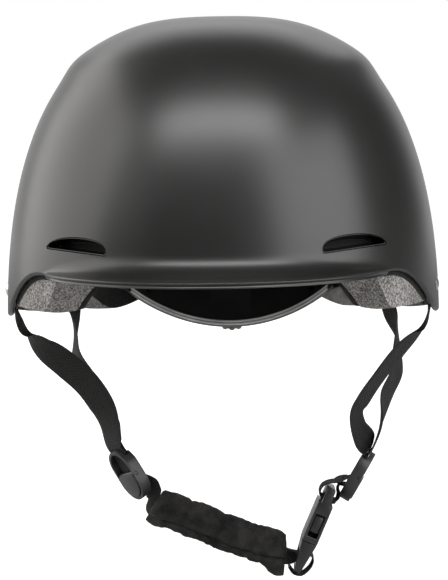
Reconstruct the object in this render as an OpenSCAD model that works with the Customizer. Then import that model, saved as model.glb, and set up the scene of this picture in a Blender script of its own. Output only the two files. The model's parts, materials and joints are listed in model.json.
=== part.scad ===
// Hard-shell bicycle helmet with a moulded front brim, foam liner, dial fit cradle and chin straps.
// Millimetres. -Y is the front of the helmet, +Z is up, and the origin is the middle of the head
// opening at the level of the ear flaps. Left and right are as seen from the front: left is -X.

/* [Shell] */
// Width of the hard shell over the ears
shell_width = 217; // [206:1:230]
// Height of the crown above the ear flaps
shell_height = 146; // [138:1:154]
// Depth of the shell from its widest line to the forehead
front_depth = 125; // [118:1:134]
// Depth of the shell from its widest line to the nape
rear_depth = 138; // [130:1:146]
// Wall of the hard shell
shell_wall = 3; // [2:0.25:4]
// Squareness of the outline from above, where 2 is an ellipse
plan_power = 2.3; // [2.2:0.05:2.5]
// Squareness of the crown seen from the front
crown_power = 2.9; // [2.6:0.05:3.1]
// Steepness of the side walls
side_power = 2.32; // [2.2:0.02:2.5]
// How far the soft shoulder line stands out of the dome
shoulder_ridge = 2.2; // [0:0.1:3]
// Depth of the shoulder line below the crown
shoulder_drop = 20.7; // [18:0.1:26]

/* [Brim] */
// How far the brim stands out at the middle
brim_reach = 22; // [12:1:28]
// Height that the brim's hollow fillet takes up at the middle
brim_fillet = 10; // [8:0.5:13]
// Half angle of the brim, seen from above
brim_half_angle = 46; // [42:1:48]

/* [Rim line] */
// Height of the brim's edge above the ear flaps
rim_brow = 24; // [20:0.5:28]
// Height of the ear flap's lowest point
rim_flap = -0.5; // [-3:0.5:1]
// Height of the shallow arch behind the ear flap
rim_ear = 4; // [2:0.5:7]
// Height of the lowest point beside the nape
rim_nape = -9; // [-11:0.5:-6]
// Height of the rim at the middle of the back
rim_back = 11; // [10:0.5:14]

/* [Front vents] */
// Length of a front vent
vent_length = 39; // [28:1:40]
// Height of a front vent
vent_height = 7.4; // [6:0.2:9]
// Height of the vents' middle above the ear flaps
vent_z = 39; // [37:0.5:44]
// Bearing of a vent's middle from the front
vent_bearing = 35.4; // [30:0.2:38]
// Tilt of a vent's lower edge
vent_tilt = 3.5; // [0:0.5:8]
// Depth of the insert behind the shell
vent_depth = 9; // [6:0.5:12]
// Wall of the vent insert
vent_wall = 1.2; // [0.8:0.1:1.6]

/* [Liner and pads] */
// Thickness of the foam liner
liner_thickness = 27; // [24:0.5:29]
// How far the liner's rim sits above the shell's rim
liner_setback = 1.5; // [1:0.25:3]
// Height of the temple blocks' lower face
temple_z = 6; // [3:0.5:8]
// How much the temple blocks thin towards their lower face
temple_bevel = 9; // [0:0.5:12]
// Thickness of the comfort pads at their crown
pad_thickness = 7; // [4:0.5:9]
// Gap between pads and liner, and between liner and shell
lining_gap = 0.3; // [0.2:0.05:0.5]

/* [Straps] */
// Width of the webbing
webbing_width = 15; // [12:0.5:16]
// Thickness of the webbing
webbing_thickness = 1; // [0.8:0.1:1.2]
// Bearing of the front strap rivets
front_rivet_bearing = 78.5; // [78:0.5:86]
// Height of the front strap rivets
front_rivet_z = 12.7; // [11:0.1:16]
// Bearing of the rear strap rivets
rear_rivet_bearing = 126.6; // [122:0.2:130]
// Height of the rear strap rivets
rear_rivet_z = 6; // [4:0.5:9]
// Radius of a rivet's head
rivet_head_radius = 3.5; // [2.8:0.1:4.2]
// Radius of a rivet's stem
rivet_stem_radius = 1.5; // [1.2:0.1:1.8]
// Radius of the washer under a rivet's tail
washer_radius = 5; // [4.2:0.1:6]

/* [Strap dividers] */
// Length of a divider
divider_length = 28; // [27:0.5:32]
// Width of a divider
divider_width = 20; // [19.5:0.5:22]
// Depth of a divider's tray
divider_depth = 5.8; // [5.8:0.1:7]
// Wall of a divider's tray
divider_wall = 1.6; // [1.2:0.1:1.8]
// Radius of the cam cover's trunnions
trunnion_radius = 0.8; // [0.7:0.05:0.9]

/* [Chin pad] */
// Width of the chin pad across the strap
chin_pad_width = 17; // [16.5:0.5:22]
// Thickness of the chin pad
chin_pad_thickness = 9; // [7:0.5:12]
// Number of padded lobes between the pad's sewn lines
chin_pad_lobes = 4; // [2:1:6]
// Depth of the sewn lines between the lobes
chin_pad_tuck = 0.22; // [0.1:0.02:0.3]

/* [Buckle] */
// Width of the buckle's socket
buckle_width = 26; // [25:0.5:30]
// Thickness of the buckle's socket
buckle_thickness = 8; // [7.6:0.1:9]
// Length of the socket's hollow body
socket_length = 21; // [20:0.5:24]
// Wall of the socket
socket_wall = 1.4; // [1.2:0.1:1.6]
// Length of the plug's shoulder, up to its strap slot
shoulder_length = 5.5; // [5:0.5:8]
// Gap in a strap slot along the strap
strap_slot = 4; // [3.6:0.1:5]
// Depth of a strap bar along the strap
strap_bar = 4; // [3:0.1:4.5]
// Depth of the plug's strap bar along the strap
plug_bar = 6.5; // [5:0.5:8]
// Length of the spring prongs
prong_length = 15; // [13:0.5:17]

/* [Fit cradle] */
// Outer radius of the cradle plate about its own axis
cradle_radius = 72.5; // [71.5:0.1:73]
// Thickness of the cradle plate
cradle_plate = 2.2; // [1.8:0.1:2.6]
// Downward tilt of the cradle towards the back
cradle_tilt = 22; // [20:0.5:24]
// Distance of the cradle's back from the shell's widest depth at the nape
cradle_setback = 36.5; // [35.5:0.5:37.5]
// Height of the cradle's axis above the origin
cradle_z = 20.5; // [19:0.5:22]
// Half of the plate's width
cradle_half_span = 56; // [52:0.5:58]
// How far the plate hangs below the cradle's level at the back
cradle_drop = 14.7; // [14:0.1:16]
// How far the plate's lower edge rises towards its ends
cradle_rise = 13.6; // [12:0.1:15]
// How far the plate stands above the cradle's level at the back
cradle_top = 16; // [15:0.5:17]
// Width of the lip along the plate's lower edge
cradle_lip = 2.4; // [2:0.1:3]

/* [Size dial] */
// Radius of the size dial
dial_radius = 12.5; // [12.5:0.5:14]
// Thickness of the size dial
dial_thickness = 7.5; // [7.5:0.25:9]
// Number of grip flutes round the dial
dial_flutes = 18; // [12:1:24]
// Number of teeth on the pinion
pinion_teeth = 8; // [8:1:8]
// Pitch radius of the pinion
pinion_radius = 4; // [4:0.1:4]
// Width of the two rack belts
belt_width = 12.6; // [12.4:0.1:13.2]
// Thickness of a rack belt
belt_thickness = 1.1; // [0.9:0.05:1.2]
// Travel of a rack belt
belt_travel = 12; // [8:0.5:12]

/* [Hidden] */

// Colours
shell_black = [0.09, 0.09, 0.09];
foam_grey = [0.42, 0.41, 0.40];
gloss_black = [0.02, 0.02, 0.02];
fabric_black = [0.05, 0.05, 0.05];
plastic_black = [0.06, 0.06, 0.06];
plastic_grey = [0.25, 0.25, 0.25];
bright_steel = [0.75, 0.75, 0.74];

// Fits: a running fit on a pin, a loose sliding fit, and an easy gap round soft or hidden pieces
running_fit = 0.05;
sliding_fit = 0.25;
easy_gap = 0.3;

// Grid counts of the meshed walls
around = 60;
brim_rows = 5;
dome_rows = 16;
liner_around = 48;
liner_rows = 12;

// The dome's equator lies under the rim, so that the walls reach the rim almost upright
equator_z = -10;
half_width = shell_width / 2;
crown_rise = shell_height - equator_z;
ridge_z = shell_height - shoulder_drop;
ridge_spread = 8;

// Plain helpers
function signed_pow(v, e) = sign(v) * pow(abs(v), e);
function clamp01(u) = max(0, min(1, u));
function smooth(u) = (1 - cos(180 * clamp01(u))) / 2;
function mix(a, b, u) = a + (b - a) * u;
function unit(v) = v / norm(v);
function flip_x(p) = [-p[0], p[1], p[2]];
function flat(lists) = [for (l = lists) each l];

// A value that eases from key to key, where keys are [angle, value]
function keyed(keys, x, i = 0) =
    x <= keys[0][0] ? keys[0][1]
    : i >= len(keys) - 1 ? keys[len(keys) - 1][1]
    : x > keys[i + 1][0] ? keyed(keys, x, i + 1)
    : mix(keys[i][1], keys[i + 1][1], smooth((x - keys[i][0]) / (keys[i + 1][0] - keys[i][0])));

// A curve through hand-chosen keys, with the given number of steps between two keys
function spline_at(k, i, u) = let (
    a = k[max(i - 1, 0)], b = k[i], c = k[i + 1], d = k[min(i + 2, len(k) - 1)]
) 0.5 * (2 * b + (c - a) * u + (2 * a - 5 * b + 4 * c - d) * u * u
    + (3 * b - 3 * c + d - a) * u * u * u);
function spline(k, steps) = concat(
    [for (i = [0 : len(k) - 2]) for (s = [0 : steps - 1]) spline_at(k, i, s / steps)],
    [k[len(k) - 1]]
);

// Heights of the rims by bearing from the front
rim_keys = [
    [0, rim_brow], [brim_half_angle + 3, rim_brow + 1], [84, rim_flap], [92, rim_flap],
    [103, rim_ear], [128, rim_nape], [180, rim_back]
];
liner_keys = [
    [0, rim_brow + 3], [40, rim_brow + 3], [50, temple_z], [74, temple_z],
    [85, rim_flap + liner_setback], [93, rim_flap + liner_setback],
    [103, rim_ear + liner_setback], [128, rim_nape + liner_setback], [180, rim_back + liner_setback]
];
function bearing(t) = abs(t > 180 ? 360 - t : t);
function rim_z(t) = keyed(rim_keys, bearing(t));
function liner_z(t) = keyed(liner_keys, bearing(t));

// The dome without its brim: t is the bearing from the front, p rises from 0 at the equator to 90
function rise_at(z) = asin(pow((z - equator_z) / crown_rise, side_power / 2));
function ridge_at(t, z) =
    shoulder_ridge * exp(-pow((z - ridge_z) / ridge_spread, 2)) * smooth((bearing(t) - 20) / 60);
function dome_point(t, p) = let (
    z = equator_z + crown_rise * pow(sin(p), 2 / side_power),
    s = pow(max(cos(p), 0), 2 / crown_power),
    out = ridge_at(t, z) * smooth(s / 0.4),
    depth = cos(t) > 0 ? front_depth : rear_depth
) [
    (half_width * s + out) * signed_pow(sin(t), 2 / plan_power),
    -(depth * s + out) * signed_pow(cos(t), 2 / plan_power),
    z
];
function dome_normal(t, p) = unit(cross(
    dome_point(t + 1, p) - dome_point(t - 1, p),
    dome_point(t, min(p + 1, 89.5)) - dome_point(t, max(p - 1, 0))
));
function inside(t, p, depth) = dome_point(t, p) - dome_normal(t, p) * depth;

// The skin of the hard shell with its brim: v is 0 at the lip, 1 where the dome takes over
function brim_share(t) = pow(max(0, 1 - pow(bearing(t) / brim_half_angle, 2)), 0.9);
// The fillet's height falls with the brim, down to a plain band round the rest of the rim
rim_band = 1.2;
function fillet(t) = mix(rim_band, brim_fillet, pow(brim_share(t), 0.9));
function brim_point(t, v) = let (
    e = 1 - v,
    z = rim_z(t) + fillet(t) * (1 - pow(e, 0.8)),
    p = rise_at(z),
    n = dome_normal(t, p)
) dome_point(t, p) + unit([n[0], n[1], 0]) * brim_reach * brim_share(t) * pow(e, 1.6);
function skin_point(t, row) = row < brim_rows ? brim_point(t, row / brim_rows)
    : dome_point(t, mix(rise_at(rim_z(t) + fillet(t)), 90, (row - brim_rows) / dome_rows));
function skin_normal(t, row) = unit(cross(
    skin_point(t + 1, row) - skin_point(t - 1, row),
    skin_point(t, row + 0.5) - skin_point(t, max(row - 0.5, 0))
));

// Faces of a grid whose columns close on themselves or not, first as seen from outside
function grid_faces(rows, cols, shift, closed) = [
    for (j = [0 : rows - 2]) for (i = [0 : (closed ? cols - 1 : cols - 2)]) let (
        a = shift + j * cols + i, b = shift + j * cols + (i + 1) % cols, c = b + cols, d = a + cols
    ) each [[a, d, c], [a, c, b]]
];
function turned(faces) = [for (f = faces) [f[2], f[1], f[0]]];

// A closed wall between two domes of rings, each ended by a pole
module domed_wall(outer, inner, outer_pole, inner_pole) {
    rows = len(outer);
    cols = len(outer[0]);
    half = rows * cols;
    top = half - cols;
    polyhedron(
        points = concat(flat(outer), flat(inner), [outer_pole, inner_pole]),
        faces = concat(
            grid_faces(rows, cols, 0, true),
            turned(grid_faces(rows, cols, half, true)),
            [for (i = [0 : cols - 1]) let (k = (i + 1) % cols) each [
                [i, k, half + k], [i, half + k, half + i],
                [top + k, top + i, 2 * half], [half + top + i, half + top + k, 2 * half + 1]
            ]]
        )
    );
}

// A closed slab between two open grids, such as a glued-in pad
module slab(far, near) {
    rows = len(far);
    cols = len(far[0]);
    half = rows * cols;
    top = half - cols;
    polyhedron(
        points = concat(flat(far), flat(near)),
        faces = concat(
            grid_faces(rows, cols, 0, false),
            turned(grid_faces(rows, cols, half, false)),
            [for (i = [0 : cols - 2]) each [
                [i, i + 1, half + i + 1], [i, half + i + 1, half + i],
                [top + i + 1, top + i, half + top + i], [top + i + 1, half + top + i, half + top + i + 1]
            ]],
            [for (j = [0 : rows - 2]) let (a = j * cols, b = a + cols - 1) each [
                [a + cols, a, half + a], [a + cols, half + a, half + a + cols],
                [b, b + cols, half + b + cols], [b, half + b + cols, half + b]
            ]]
        )
    );
}

// A solid through rings of points, each ring turning the right-hand way round the travel
module loft(rings) {
    k = len(rings[0]);
    last = (len(rings) - 1) * k;
    polyhedron(
        points = flat(rings),
        faces = concat(
            grid_faces(len(rings), k, 0, true),
            [[for (i = [0 : k - 1]) i], [for (i = [k - 1 : -1 : 0]) last + i]]
        )
    );
}

// The same with a tunnel through it, where outer and inner rings match one to one
module sleeve(outer, inner) {
    k = len(outer[0]);
    rows = len(outer);
    half = rows * k;
    last = half - k;
    polyhedron(
        points = concat(flat(outer), flat(inner)),
        faces = concat(
            grid_faces(rows, k, 0, true),
            turned(grid_faces(rows, k, half, true)),
            [for (i = [0 : k - 1]) let (n = (i + 1) % k) each [
                [i, n, half + n], [i, half + n, half + i],
                [last + n, last + i, half + last + i], [last + n, half + last + i, half + last + n]
            ]]
        )
    );
}

// Frames: a matrix with the given place, z direction and rough y direction
function frame(place, z_dir, y_hint) = let (
    z = unit(z_dir),
    y = unit(y_hint - z * (y_hint * z)),
    x = cross(y, z)
) [
    [x[0], y[0], z[0], place[0]], [x[1], y[1], z[1], place[1]],
    [x[2], y[2], z[2], place[2]], [0, 0, 0, 1]
];
function in_frame(m, p) = [for (r = [0 : 2]) m[r][0] * p[0] + m[r][1] * p[1] + m[r][2] * p[2] + m[r][3]];
function axis_of(m, c) = [m[0][c], m[1][c], m[2][c]];

// Webbing: keys are [point, facing], and the facing is squared to the strap at every ring
function strap_ring(p, travel, facing, width, thickness) = let (
    t = unit(travel),
    n = unit(facing - t * (facing * t)),
    w = cross(n, t) * width / 2,
    h = n * thickness / 2
) [p - w - h, p + w - h, p + w + h, p - w + h];
function strap_rings(keys, steps, width, thickness) = let (
    route = spline([for (k = keys) k[0]], steps),
    facing = spline([for (k = keys) k[1]], steps),
    n = len(route)
) [
    for (i = [0 : n - 1])
        strap_ring(route[i], route[min(i + 1, n - 1)] - route[max(i - 1, 0)], facing[i], width, thickness)
];
module webbing(keys, steps = 3) {
    loft(strap_rings(keys, steps, webbing_width, webbing_thickness));
}
// The same for loops and twists, where keys are [point, direction of the width]
function sideways_ring(p, travel, side, width, thickness) = let (
    t = unit(travel),
    w = unit(side - t * (side * t)),
    h = cross(t, w) * thickness / 2
) [p - w * width / 2 - h, p + w * width / 2 - h, p + w * width / 2 + h, p - w * width / 2 + h];
function travel_at(route, i) = route[min(i + 1, len(route) - 1)] - route[max(i - 1, 0)];
module looped_webbing(keys, steps = 3) {
    route = spline([for (k = keys) k[0]], steps);
    side = spline([for (k = keys) k[1]], steps);
    loft([for (i = [0 : len(route) - 1])
        sideways_ring(route[i], travel_at(route, i), side[i], webbing_width, webbing_thickness)]);
}

// The cradle's axis, about which its belts bend, keeps the cradle's back near the nape
cradle_y = rear_depth - cradle_setback - cradle_radius;

// Rivets: a frame on the shell, z outwards, y up along the strap
front_rivet = frame(
    dome_point(-front_rivet_bearing, rise_at(front_rivet_z)),
    dome_normal(-front_rivet_bearing, rise_at(front_rivet_z)), [0, 0, 1]);
rear_rivet = frame(
    dome_point(-rear_rivet_bearing, rise_at(rear_rivet_z)),
    dome_normal(-rear_rivet_bearing, rise_at(rear_rivet_z)), [0, 0, 1]);
strap_depth = shell_wall + 3 * easy_gap + webbing_thickness / 2;
washer_depth = strap_depth + webbing_thickness / 2 + 0.15;
washer_thickness = 0.8;
tail_thickness = 1.2;
tab_up = 6.5;
recess_depth = washer_depth + washer_thickness + tail_thickness + 1;
recess_up = max(tab_up, washer_radius) + 2.5;
recess_down = 45;
recess_width = max(webbing_width, 2 * washer_radius) + 3;

// Every rivet in turn, with the two of the left mirrored to the right
module at_rivets() {
    for (side = [0, 1]) mirror([side, 0, 0]) {
        multmatrix(front_rivet) children();
        multmatrix(rear_rivet) children();
    }
}

// Vents: a frame on the left of the shell, x towards the vent's pointed outer end, y up
vent_frame = frame(
    dome_point(-vent_bearing, rise_at(vent_z)),
    dome_normal(-vent_bearing, rise_at(vent_z)), [0, 0, 1]);
vent_steps = 12;
vent_crest = 0.683;
vent_tip = 1.2;
// The vent's outline, grown by a gap all round: narrow outside, full inside, with a straight sill
function vent_outline(gap) = let (
    w = vent_length + 2 * gap,
    h = vent_height + 2 * gap,
    tip = vent_tip + gap
) concat(
    [for (i = [0 : vent_steps]) let (u = smooth(i / vent_steps)) [
        w * (u - 0.5),
        -h / 2 + max(tip, h * pow(u, 0.4) * pow(1 - u, 0.2) / vent_crest)
    ]],
    [[w / 2, -h / 2], [-w / 2, -h / 2]]
);
// In the frame of the left vent the outer end lies at -X of the shell, which is -x
module vent_prism(gap, low, high) {
    translate([0, 0, low]) rotate([0, 0, -vent_tilt])
        linear_extrude(high - low) polygon(vent_outline(gap));
}
// The shell falls away from the vent's flat front by this much at the vent's ends
vent_sink = pow(vent_length / 2, 2) / (2 * front_depth) + 0.8;
vent_floor = shell_wall + vent_depth;
module vent_body(gap) {
    vent_prism(gap, -vent_floor, -vent_sink);
}

module outer_shell() {
    step = 360 / around;
    outer = [for (j = [0 : brim_rows + dome_rows - 1]) [
        for (i = [0 : around - 1]) skin_point(i * step, j)]];
    inner = [for (j = [0 : brim_rows + dome_rows - 1]) [
        for (i = [0 : around - 1]) skin_point(i * step, j) - skin_normal(i * step, j) * shell_wall]];
    color(shell_black) difference() {
        domed_wall(outer, inner, [0, 0, shell_height], [0, 0, shell_height - shell_wall]);
        for (side = [0, 1]) mirror([side, 0, 0])
            multmatrix(vent_frame) vent_prism(0, -shell_wall * 3, shell_wall * 2);
        at_rivets() cylinder(h = 6 * shell_wall, r = rivet_stem_radius + 0.2, center = true, $fn = 24);
    }
}

// Depths of the liner's two faces below the skin of the dome
liner_outer = shell_wall + 2 * lining_gap;
liner_inner = liner_outer + liner_thickness;
// Depth of the liner's inner face, which thins towards the lower face of the temple blocks
function inner_depth(t, p) = liner_inner - temple_bevel
    * (1 - smooth((dome_point(t, p)[2] - temple_z) / 24))
    * smooth((bearing(t) - 36) / 10) * (1 - smooth((bearing(t) - 80) / 12));
hanger_width = 22;
hanger_plate = 2;
hanger_z = 38;
// The hanger grows out of the plate at this level of the cradle
hanger_root = 12;
hanger_y = cradle_y + (cradle_radius - cradle_plate / 2) * cos(cradle_tilt)
    + hanger_root * sin(cradle_tilt);
hanger_low = cradle_z - (cradle_radius - cradle_plate / 2) * sin(cradle_tilt)
    + (hanger_root - 1.5) * cos(cradle_tilt);
plug_radius = 6;
plug_length = 9;
peg_radius = 2;
cavity_back = rear_depth * pow(cos(rise_at(hanger_z)), 2 / crown_power) - liner_inner;

// Points of the liner's two faces, by column and row; a lift moves them towards the head
liner_step = 360 / liner_around;
function liner_rise(i, j) = mix(rise_at(liner_z(i * liner_step)), 90, pow(j / liner_rows, 1.2));
function liner_back(i, j) = inside(i * liner_step, liner_rise(i, j), liner_outer);
function liner_face(i, j, lift = 0) = let (t = i * liner_step, p = liner_rise(i, j))
    inside(t, p, inner_depth(t, p) + lift);
// The same between two rows, so that a pad's foot can start part of the way up
function liner_between(i, j, lift) = let (low = floor(j))
    mix(liner_face(i, low, lift), liner_face(i, low + 1, lift), j - low);
module eps_liner() {
    color(foam_grey) difference() {
        domed_wall(
            [for (j = [0 : liner_rows - 1]) [for (i = [0 : liner_around - 1]) liner_back(i, j)]],
            [for (j = [0 : liner_rows - 1]) [for (i = [0 : liner_around - 1]) liner_face(i, j)]],
            [0, 0, shell_height - liner_outer], [0, 0, shell_height - liner_inner]);
        for (side = [0, 1]) mirror([side, 0, 0]) {
            multmatrix(vent_frame) vent_prism(2 * easy_gap, -vent_floor - easy_gap, 2);
            guide_pocket();
        }
        at_rivets() translate([-recess_width / 2, -recess_down, -recess_depth])
            cube([recess_width, recess_down + recess_up, recess_depth]);
        translate([0, cavity_back - 8, hanger_z]) rotate([-90, 0, 0])
            cylinder(h = plug_length + 10, r = plug_radius + easy_gap, $fn = 32);
    }
}

// Glossy scoop behind a front vent: a cup that is open to the front
module vent_insert() {
    color(gloss_black) multmatrix(vent_frame) {
        difference() {
            vent_body(-sliding_fit - 0.15);
            vent_prism(-sliding_fit - vent_wall, -vent_floor + vent_wall, 2);
        }
    }
}
module left_vent_insert() {
    vent_insert();
}
module right_vent_insert() {
    mirror([1, 0, 0]) vent_insert();
}

// Comfort pads lie on the liner's inner face, thick in the middle and drawn in at the edges
pad_gap = 0.5;
pad_edge = 0.35;
function pad_swell(u, v) = pad_thickness
    * (pad_edge + (1 - pad_edge) * pow(max(0, sin(180 * u) * sin(180 * v)), 0.4));
// A pad over columns i0 to i1 and the given rows of the liner
function pad_grid(i0, i1, rows, swell) = let (foot = rows[0], top = rows[len(rows) - 1]) [
    for (j = rows) [for (i = [i0 : i1])
        liner_between(i, j, pad_gap + swell * pad_swell((i - i0) / (i1 - i0), (j - foot) / (top - foot)))]
];
module lining_pad(i0, i1, rows) {
    color(fabric_black) slab(pad_grid(i0, i1, rows, 0), pad_grid(i0, i1, rows, 1));
}
side_pad_rows = [0.06, 1, 2, 2.4];
module brow_pad() {
    lining_pad(-5, 5, [0.5, 1, 1.5, 2, 2.6]);
}
module left_side_pad() {
    lining_pad(-12, -6, side_pad_rows);
}
module right_side_pad() {
    lining_pad(6, 12, side_pad_rows);
}
module rear_pad() {
    lining_pad(20, 28, [2.9, 3, 3.5, 4, 4.5]);
}
module crown_pad() {
    rows = [10, 11];
    function crown_ring(j, lift) = [for (i = [0 : liner_around - 1]) liner_face(i, j, pad_gap + lift)];
    color(fabric_black) domed_wall(
        [for (j = rows) crown_ring(j, 0)],
        [for (j = rows) crown_ring(j, pad_thickness * (j == rows[0] ? pad_edge : 0.9))],
        [0, 0, shell_height - liner_inner - pad_gap],
        [0, 0, shell_height - liner_inner - pad_gap - pad_thickness]);
}

// Domed head, stem and clinched tail
module strap_rivets() {
    head_height = 1.2;
    ball = (pow(rivet_head_radius, 2) + pow(head_height, 2)) / (2 * head_height);
    color(bright_steel) at_rivets() {
        intersection() {
            translate([0, 0, head_height + 0.05 - ball]) sphere(r = ball, $fn = 48);
            translate([0, 0, 0.05]) cylinder(h = head_height + 1, r = rivet_head_radius, $fn = 48);
        }
        translate([0, 0, -washer_depth - washer_thickness - 0.1])
            cylinder(h = washer_depth + washer_thickness + 0.2, r = rivet_stem_radius, $fn = 24);
        translate([0, 0, -washer_depth - washer_thickness - tail_thickness - 0.05])
            cylinder(h = tail_thickness, r = rivet_stem_radius + 1, $fn = 24);
    }
}
module rivet_washers() {
    color(bright_steel) at_rivets() translate([0, 0, -washer_depth - washer_thickness]) difference() {
        cylinder(h = washer_thickness, r = washer_radius, $fn = 36);
        translate([0, 0, -1]) cylinder(h = washer_thickness + 2, r = rivet_stem_radius + 0.1, $fn = 24);
    }
}

// Dividers: z faces away from the cheek, y runs up the straps
left_divider = frame([-46.7, -9, -82.6], [-0.72, -0.54, -0.44], [-0.44, 0, 0.90]);
right_divider = frame([63.9, -5, -85.3], [0.86, -0.12, -0.50], [0.50, 0, 0.86]);
tray_floor = 0.8;
lower_layer = tray_floor + 0.1 + webbing_thickness / 2;
upper_layer = lower_layer + webbing_thickness + 0.1;
cam_z = divider_depth - trunnion_radius - 0.6;
cam_radius = cam_z - upper_layer - webbing_thickness / 2 - 0.1;
cam_cover_thickness = 2;
exit_slot = 8;
exit_y = -5.2;
// Relief under the straps where they come in over the tray's end
mouth = 2.6;
entry_slot_top = upper_layer + webbing_thickness / 2 + 0.4;

// A flat puck with half-round ends, from z = 0 up
module puck(length, width, height) {
    straight = length - width;
    linear_extrude(height) union() {
        square([width, straight], center = true);
        translate([0, straight / 2]) circle(d = width, $fn = 48);
        translate([0, -straight / 2]) circle(d = width, $fn = 48);
    }
}
module divider_tray() {
    inner_width = divider_width - 2 * divider_wall;
    slot_width = webbing_width + 0.8;
    color(plastic_black) difference() {
        puck(divider_length, divider_width, divider_depth);
        translate([0, 0, tray_floor])
            puck(divider_length - 2 * divider_wall, inner_width, divider_depth);
        translate([-slot_width / 2, 0, tray_floor])
            cube([slot_width, divider_length, entry_slot_top - tray_floor]);
        translate([-slot_width / 2, exit_y - exit_slot / 2, -1])
            cube([slot_width, exit_slot, tray_floor + 2]);
        translate([-slot_width / 2, divider_length / 2 - mouth, -1])
            cube([slot_width, mouth + 1, tray_floor + 2]);
        translate([0, 0, cam_z]) rotate([0, 90, 0])
            cylinder(h = divider_width + 2, r = trunnion_radius + running_fit, center = true, $fn = 24);
    }
}
module divider_cam() {
    cover_width = divider_width - 2 * divider_wall - 2 * sliding_fit;
    color(plastic_grey) {
        intersection() {
            translate([0, 0, cam_z]) puck(
                divider_length - 2 * divider_wall - 2 * sliding_fit, cover_width, cam_cover_thickness);
            translate([-divider_width, -divider_length, 0]) cube([2 * divider_width, divider_length, 20]);
        }
        translate([0, 0, cam_z]) rotate([0, 90, 0]) {
            cylinder(h = cover_width, r = cam_radius, center = true, $fn = 32);
            cylinder(h = divider_width - 0.4, r = trunnion_radius, center = true, $fn = 24);
        }
    }
}
module left_divider_tray() {
    multmatrix(left_divider) divider_tray();
}
module left_divider_cam() {
    multmatrix(left_divider) divider_cam();
}
module right_divider_tray() {
    multmatrix(right_divider) divider_tray();
}
module right_divider_cam() {
    multmatrix(right_divider) divider_cam();
}

// The top of a strap: two keys beside its rivet and one at the rim, in the rivet's frame
function tab_keys(m, down) = [for (y = [tab_up, 0, -down])
    [in_frame(m, [0, y, -strap_depth]), axis_of(m, 2)]];
// The bottom of a strap: in through the tray's upper slot, in the divider's frame, lifted outside it
function tray_keys(m, layer, lift) = [for (y = [divider_length / 2 + 2, divider_length / 2 - 2, 0.8])
    [in_frame(m, [0, y, layer + (y > divider_length / 2 ? lift : 0)]), axis_of(m, 2)]];
function mirrored(keys) = [for (k = keys) [flip_x(k[0]), flip_x(k[1])]];

// Routes of the free stretches, as [point, facing]; the front ones start under the ear flaps
flap_x = half_width - 10.5;
left_front_route = [
    [[-flap_x, -22.5, -9], [-0.95, -0.3, -0.2]], [[7 - flap_x, -21, -17.5], [-0.7, -0.7, -0.1]],
    [[-81, -20, -25.5], [-0.45, -0.9, 0]], [[-69.5, -18, -36.5], [-0.4, -0.9, 0]],
    [[-62, -15, -48.5], [-0.45, -0.9, 0]], [[-58.4, -12.4, -59.5], [-0.65, -0.7, -0.3]]
];
left_rear_route = [
    [[-84.4, 76, -18], [-0.9, 0.35, 0.1]], [[-82.6, 58, -26], [-0.95, 0.1, 0.3]],
    [[-79.8, 42, -33.5], [-1, 0, 0.3]], [[-72.2, 28, -43.5], [-0.9, -0.1, 0.4]],
    [[-64.5, 14, -52.5], [-0.85, -0.35, 0.1]], [[-58.5, 4, -57.5], [-0.75, -0.5, -0.2]],
    [[-54, -4.6, -63.2], [-0.72, -0.54, -0.44]]
];
right_front_route = [
    [[flap_x + 0.5, -23, -10], [0.9, -0.3, -0.3]],
    [[flap_x - 9.8, -21, -21.3], [0.75, -0.5, -0.4]],
    [[77.9, -18.5, -34.7], [0.75, -0.5, -0.4]], [[70.6, -16, -45.5], [0.8, -0.55, -0.3]],
    [[66.5, -13.5, -54.5], [0.85, -0.5, 0]], [[68, -9.2, -64], [0.88, -0.22, -0.4]]
];
right_rear_route = [
    [[89.6, 74, -18], [0.9, 0.35, 0.1]], [[90.1, 57, -25.5], [0.95, 0.1, 0.3]],
    [[89, 42, -35.5], [0.9, -0.2, 0.3]], [[85.6, 30, -44.5], [0.85, -0.4, -0.1]],
    [[80.6, 16, -53.5], [0.9, -0.3, 0]], [[78.3, 1.3, -64.6], [0.9, -0.15, -0.4]]
];
// On the left the front strap lies over the rear one in the divider, on the right under it
function over_keys(m, route, divider) = concat(m, route, tray_keys(divider, upper_layer, 0.5));
function under_keys(m, route, divider) = concat(m, route, tray_keys(divider, lower_layer, -0.4));
front_tab = tab_keys(front_rivet, front_rivet_z - rim_flap);
rear_tab = tab_keys(rear_rivet, rear_rivet_z - rim_nape);

// A strap with the hole that its rivet goes through
module riveted_strap(keys, rivet) {
    color(fabric_black) difference() {
        webbing(keys);
        multmatrix(rivet) cylinder(h = 30, r = rivet_stem_radius + 0.2, center = true, $fn = 24);
    }
}
mirror_x = [[-1, 0, 0, 0], [0, 1, 0, 0], [0, 0, 1, 0], [0, 0, 0, 1]];
module left_front_strap() {
    riveted_strap(over_keys(front_tab, left_front_route, left_divider), front_rivet);
}
module left_rear_strap() {
    riveted_strap(under_keys(rear_tab, left_rear_route, left_divider), rear_rivet);
}
module right_front_strap() {
    riveted_strap(under_keys(mirrored(front_tab), right_front_route, right_divider),
        mirror_x * front_rivet);
}
module right_rear_strap() {
    riveted_strap(over_keys(mirrored(rear_tab), right_rear_route, right_divider),
        mirror_x * rear_rivet);
}

// Buckle: the origin is the seam between its halves, z runs up the socket, y is its thickness
buckle = frame([41.6, -11, -118.4], [0.40, 0.04, 0.915], [0.915, 0, -0.40]);
bar_z = socket_length + strap_slot;
prong_root = 7.5;
prong_beam = 1.8;
cavity_width = buckle_width - 2 * socket_wall;
cavity_thickness = buckle_thickness - 2 * socket_wall;
plug_bar_z = -shoulder_length - strap_slot - plug_bar;
bar_thickness = 4.4;

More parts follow.
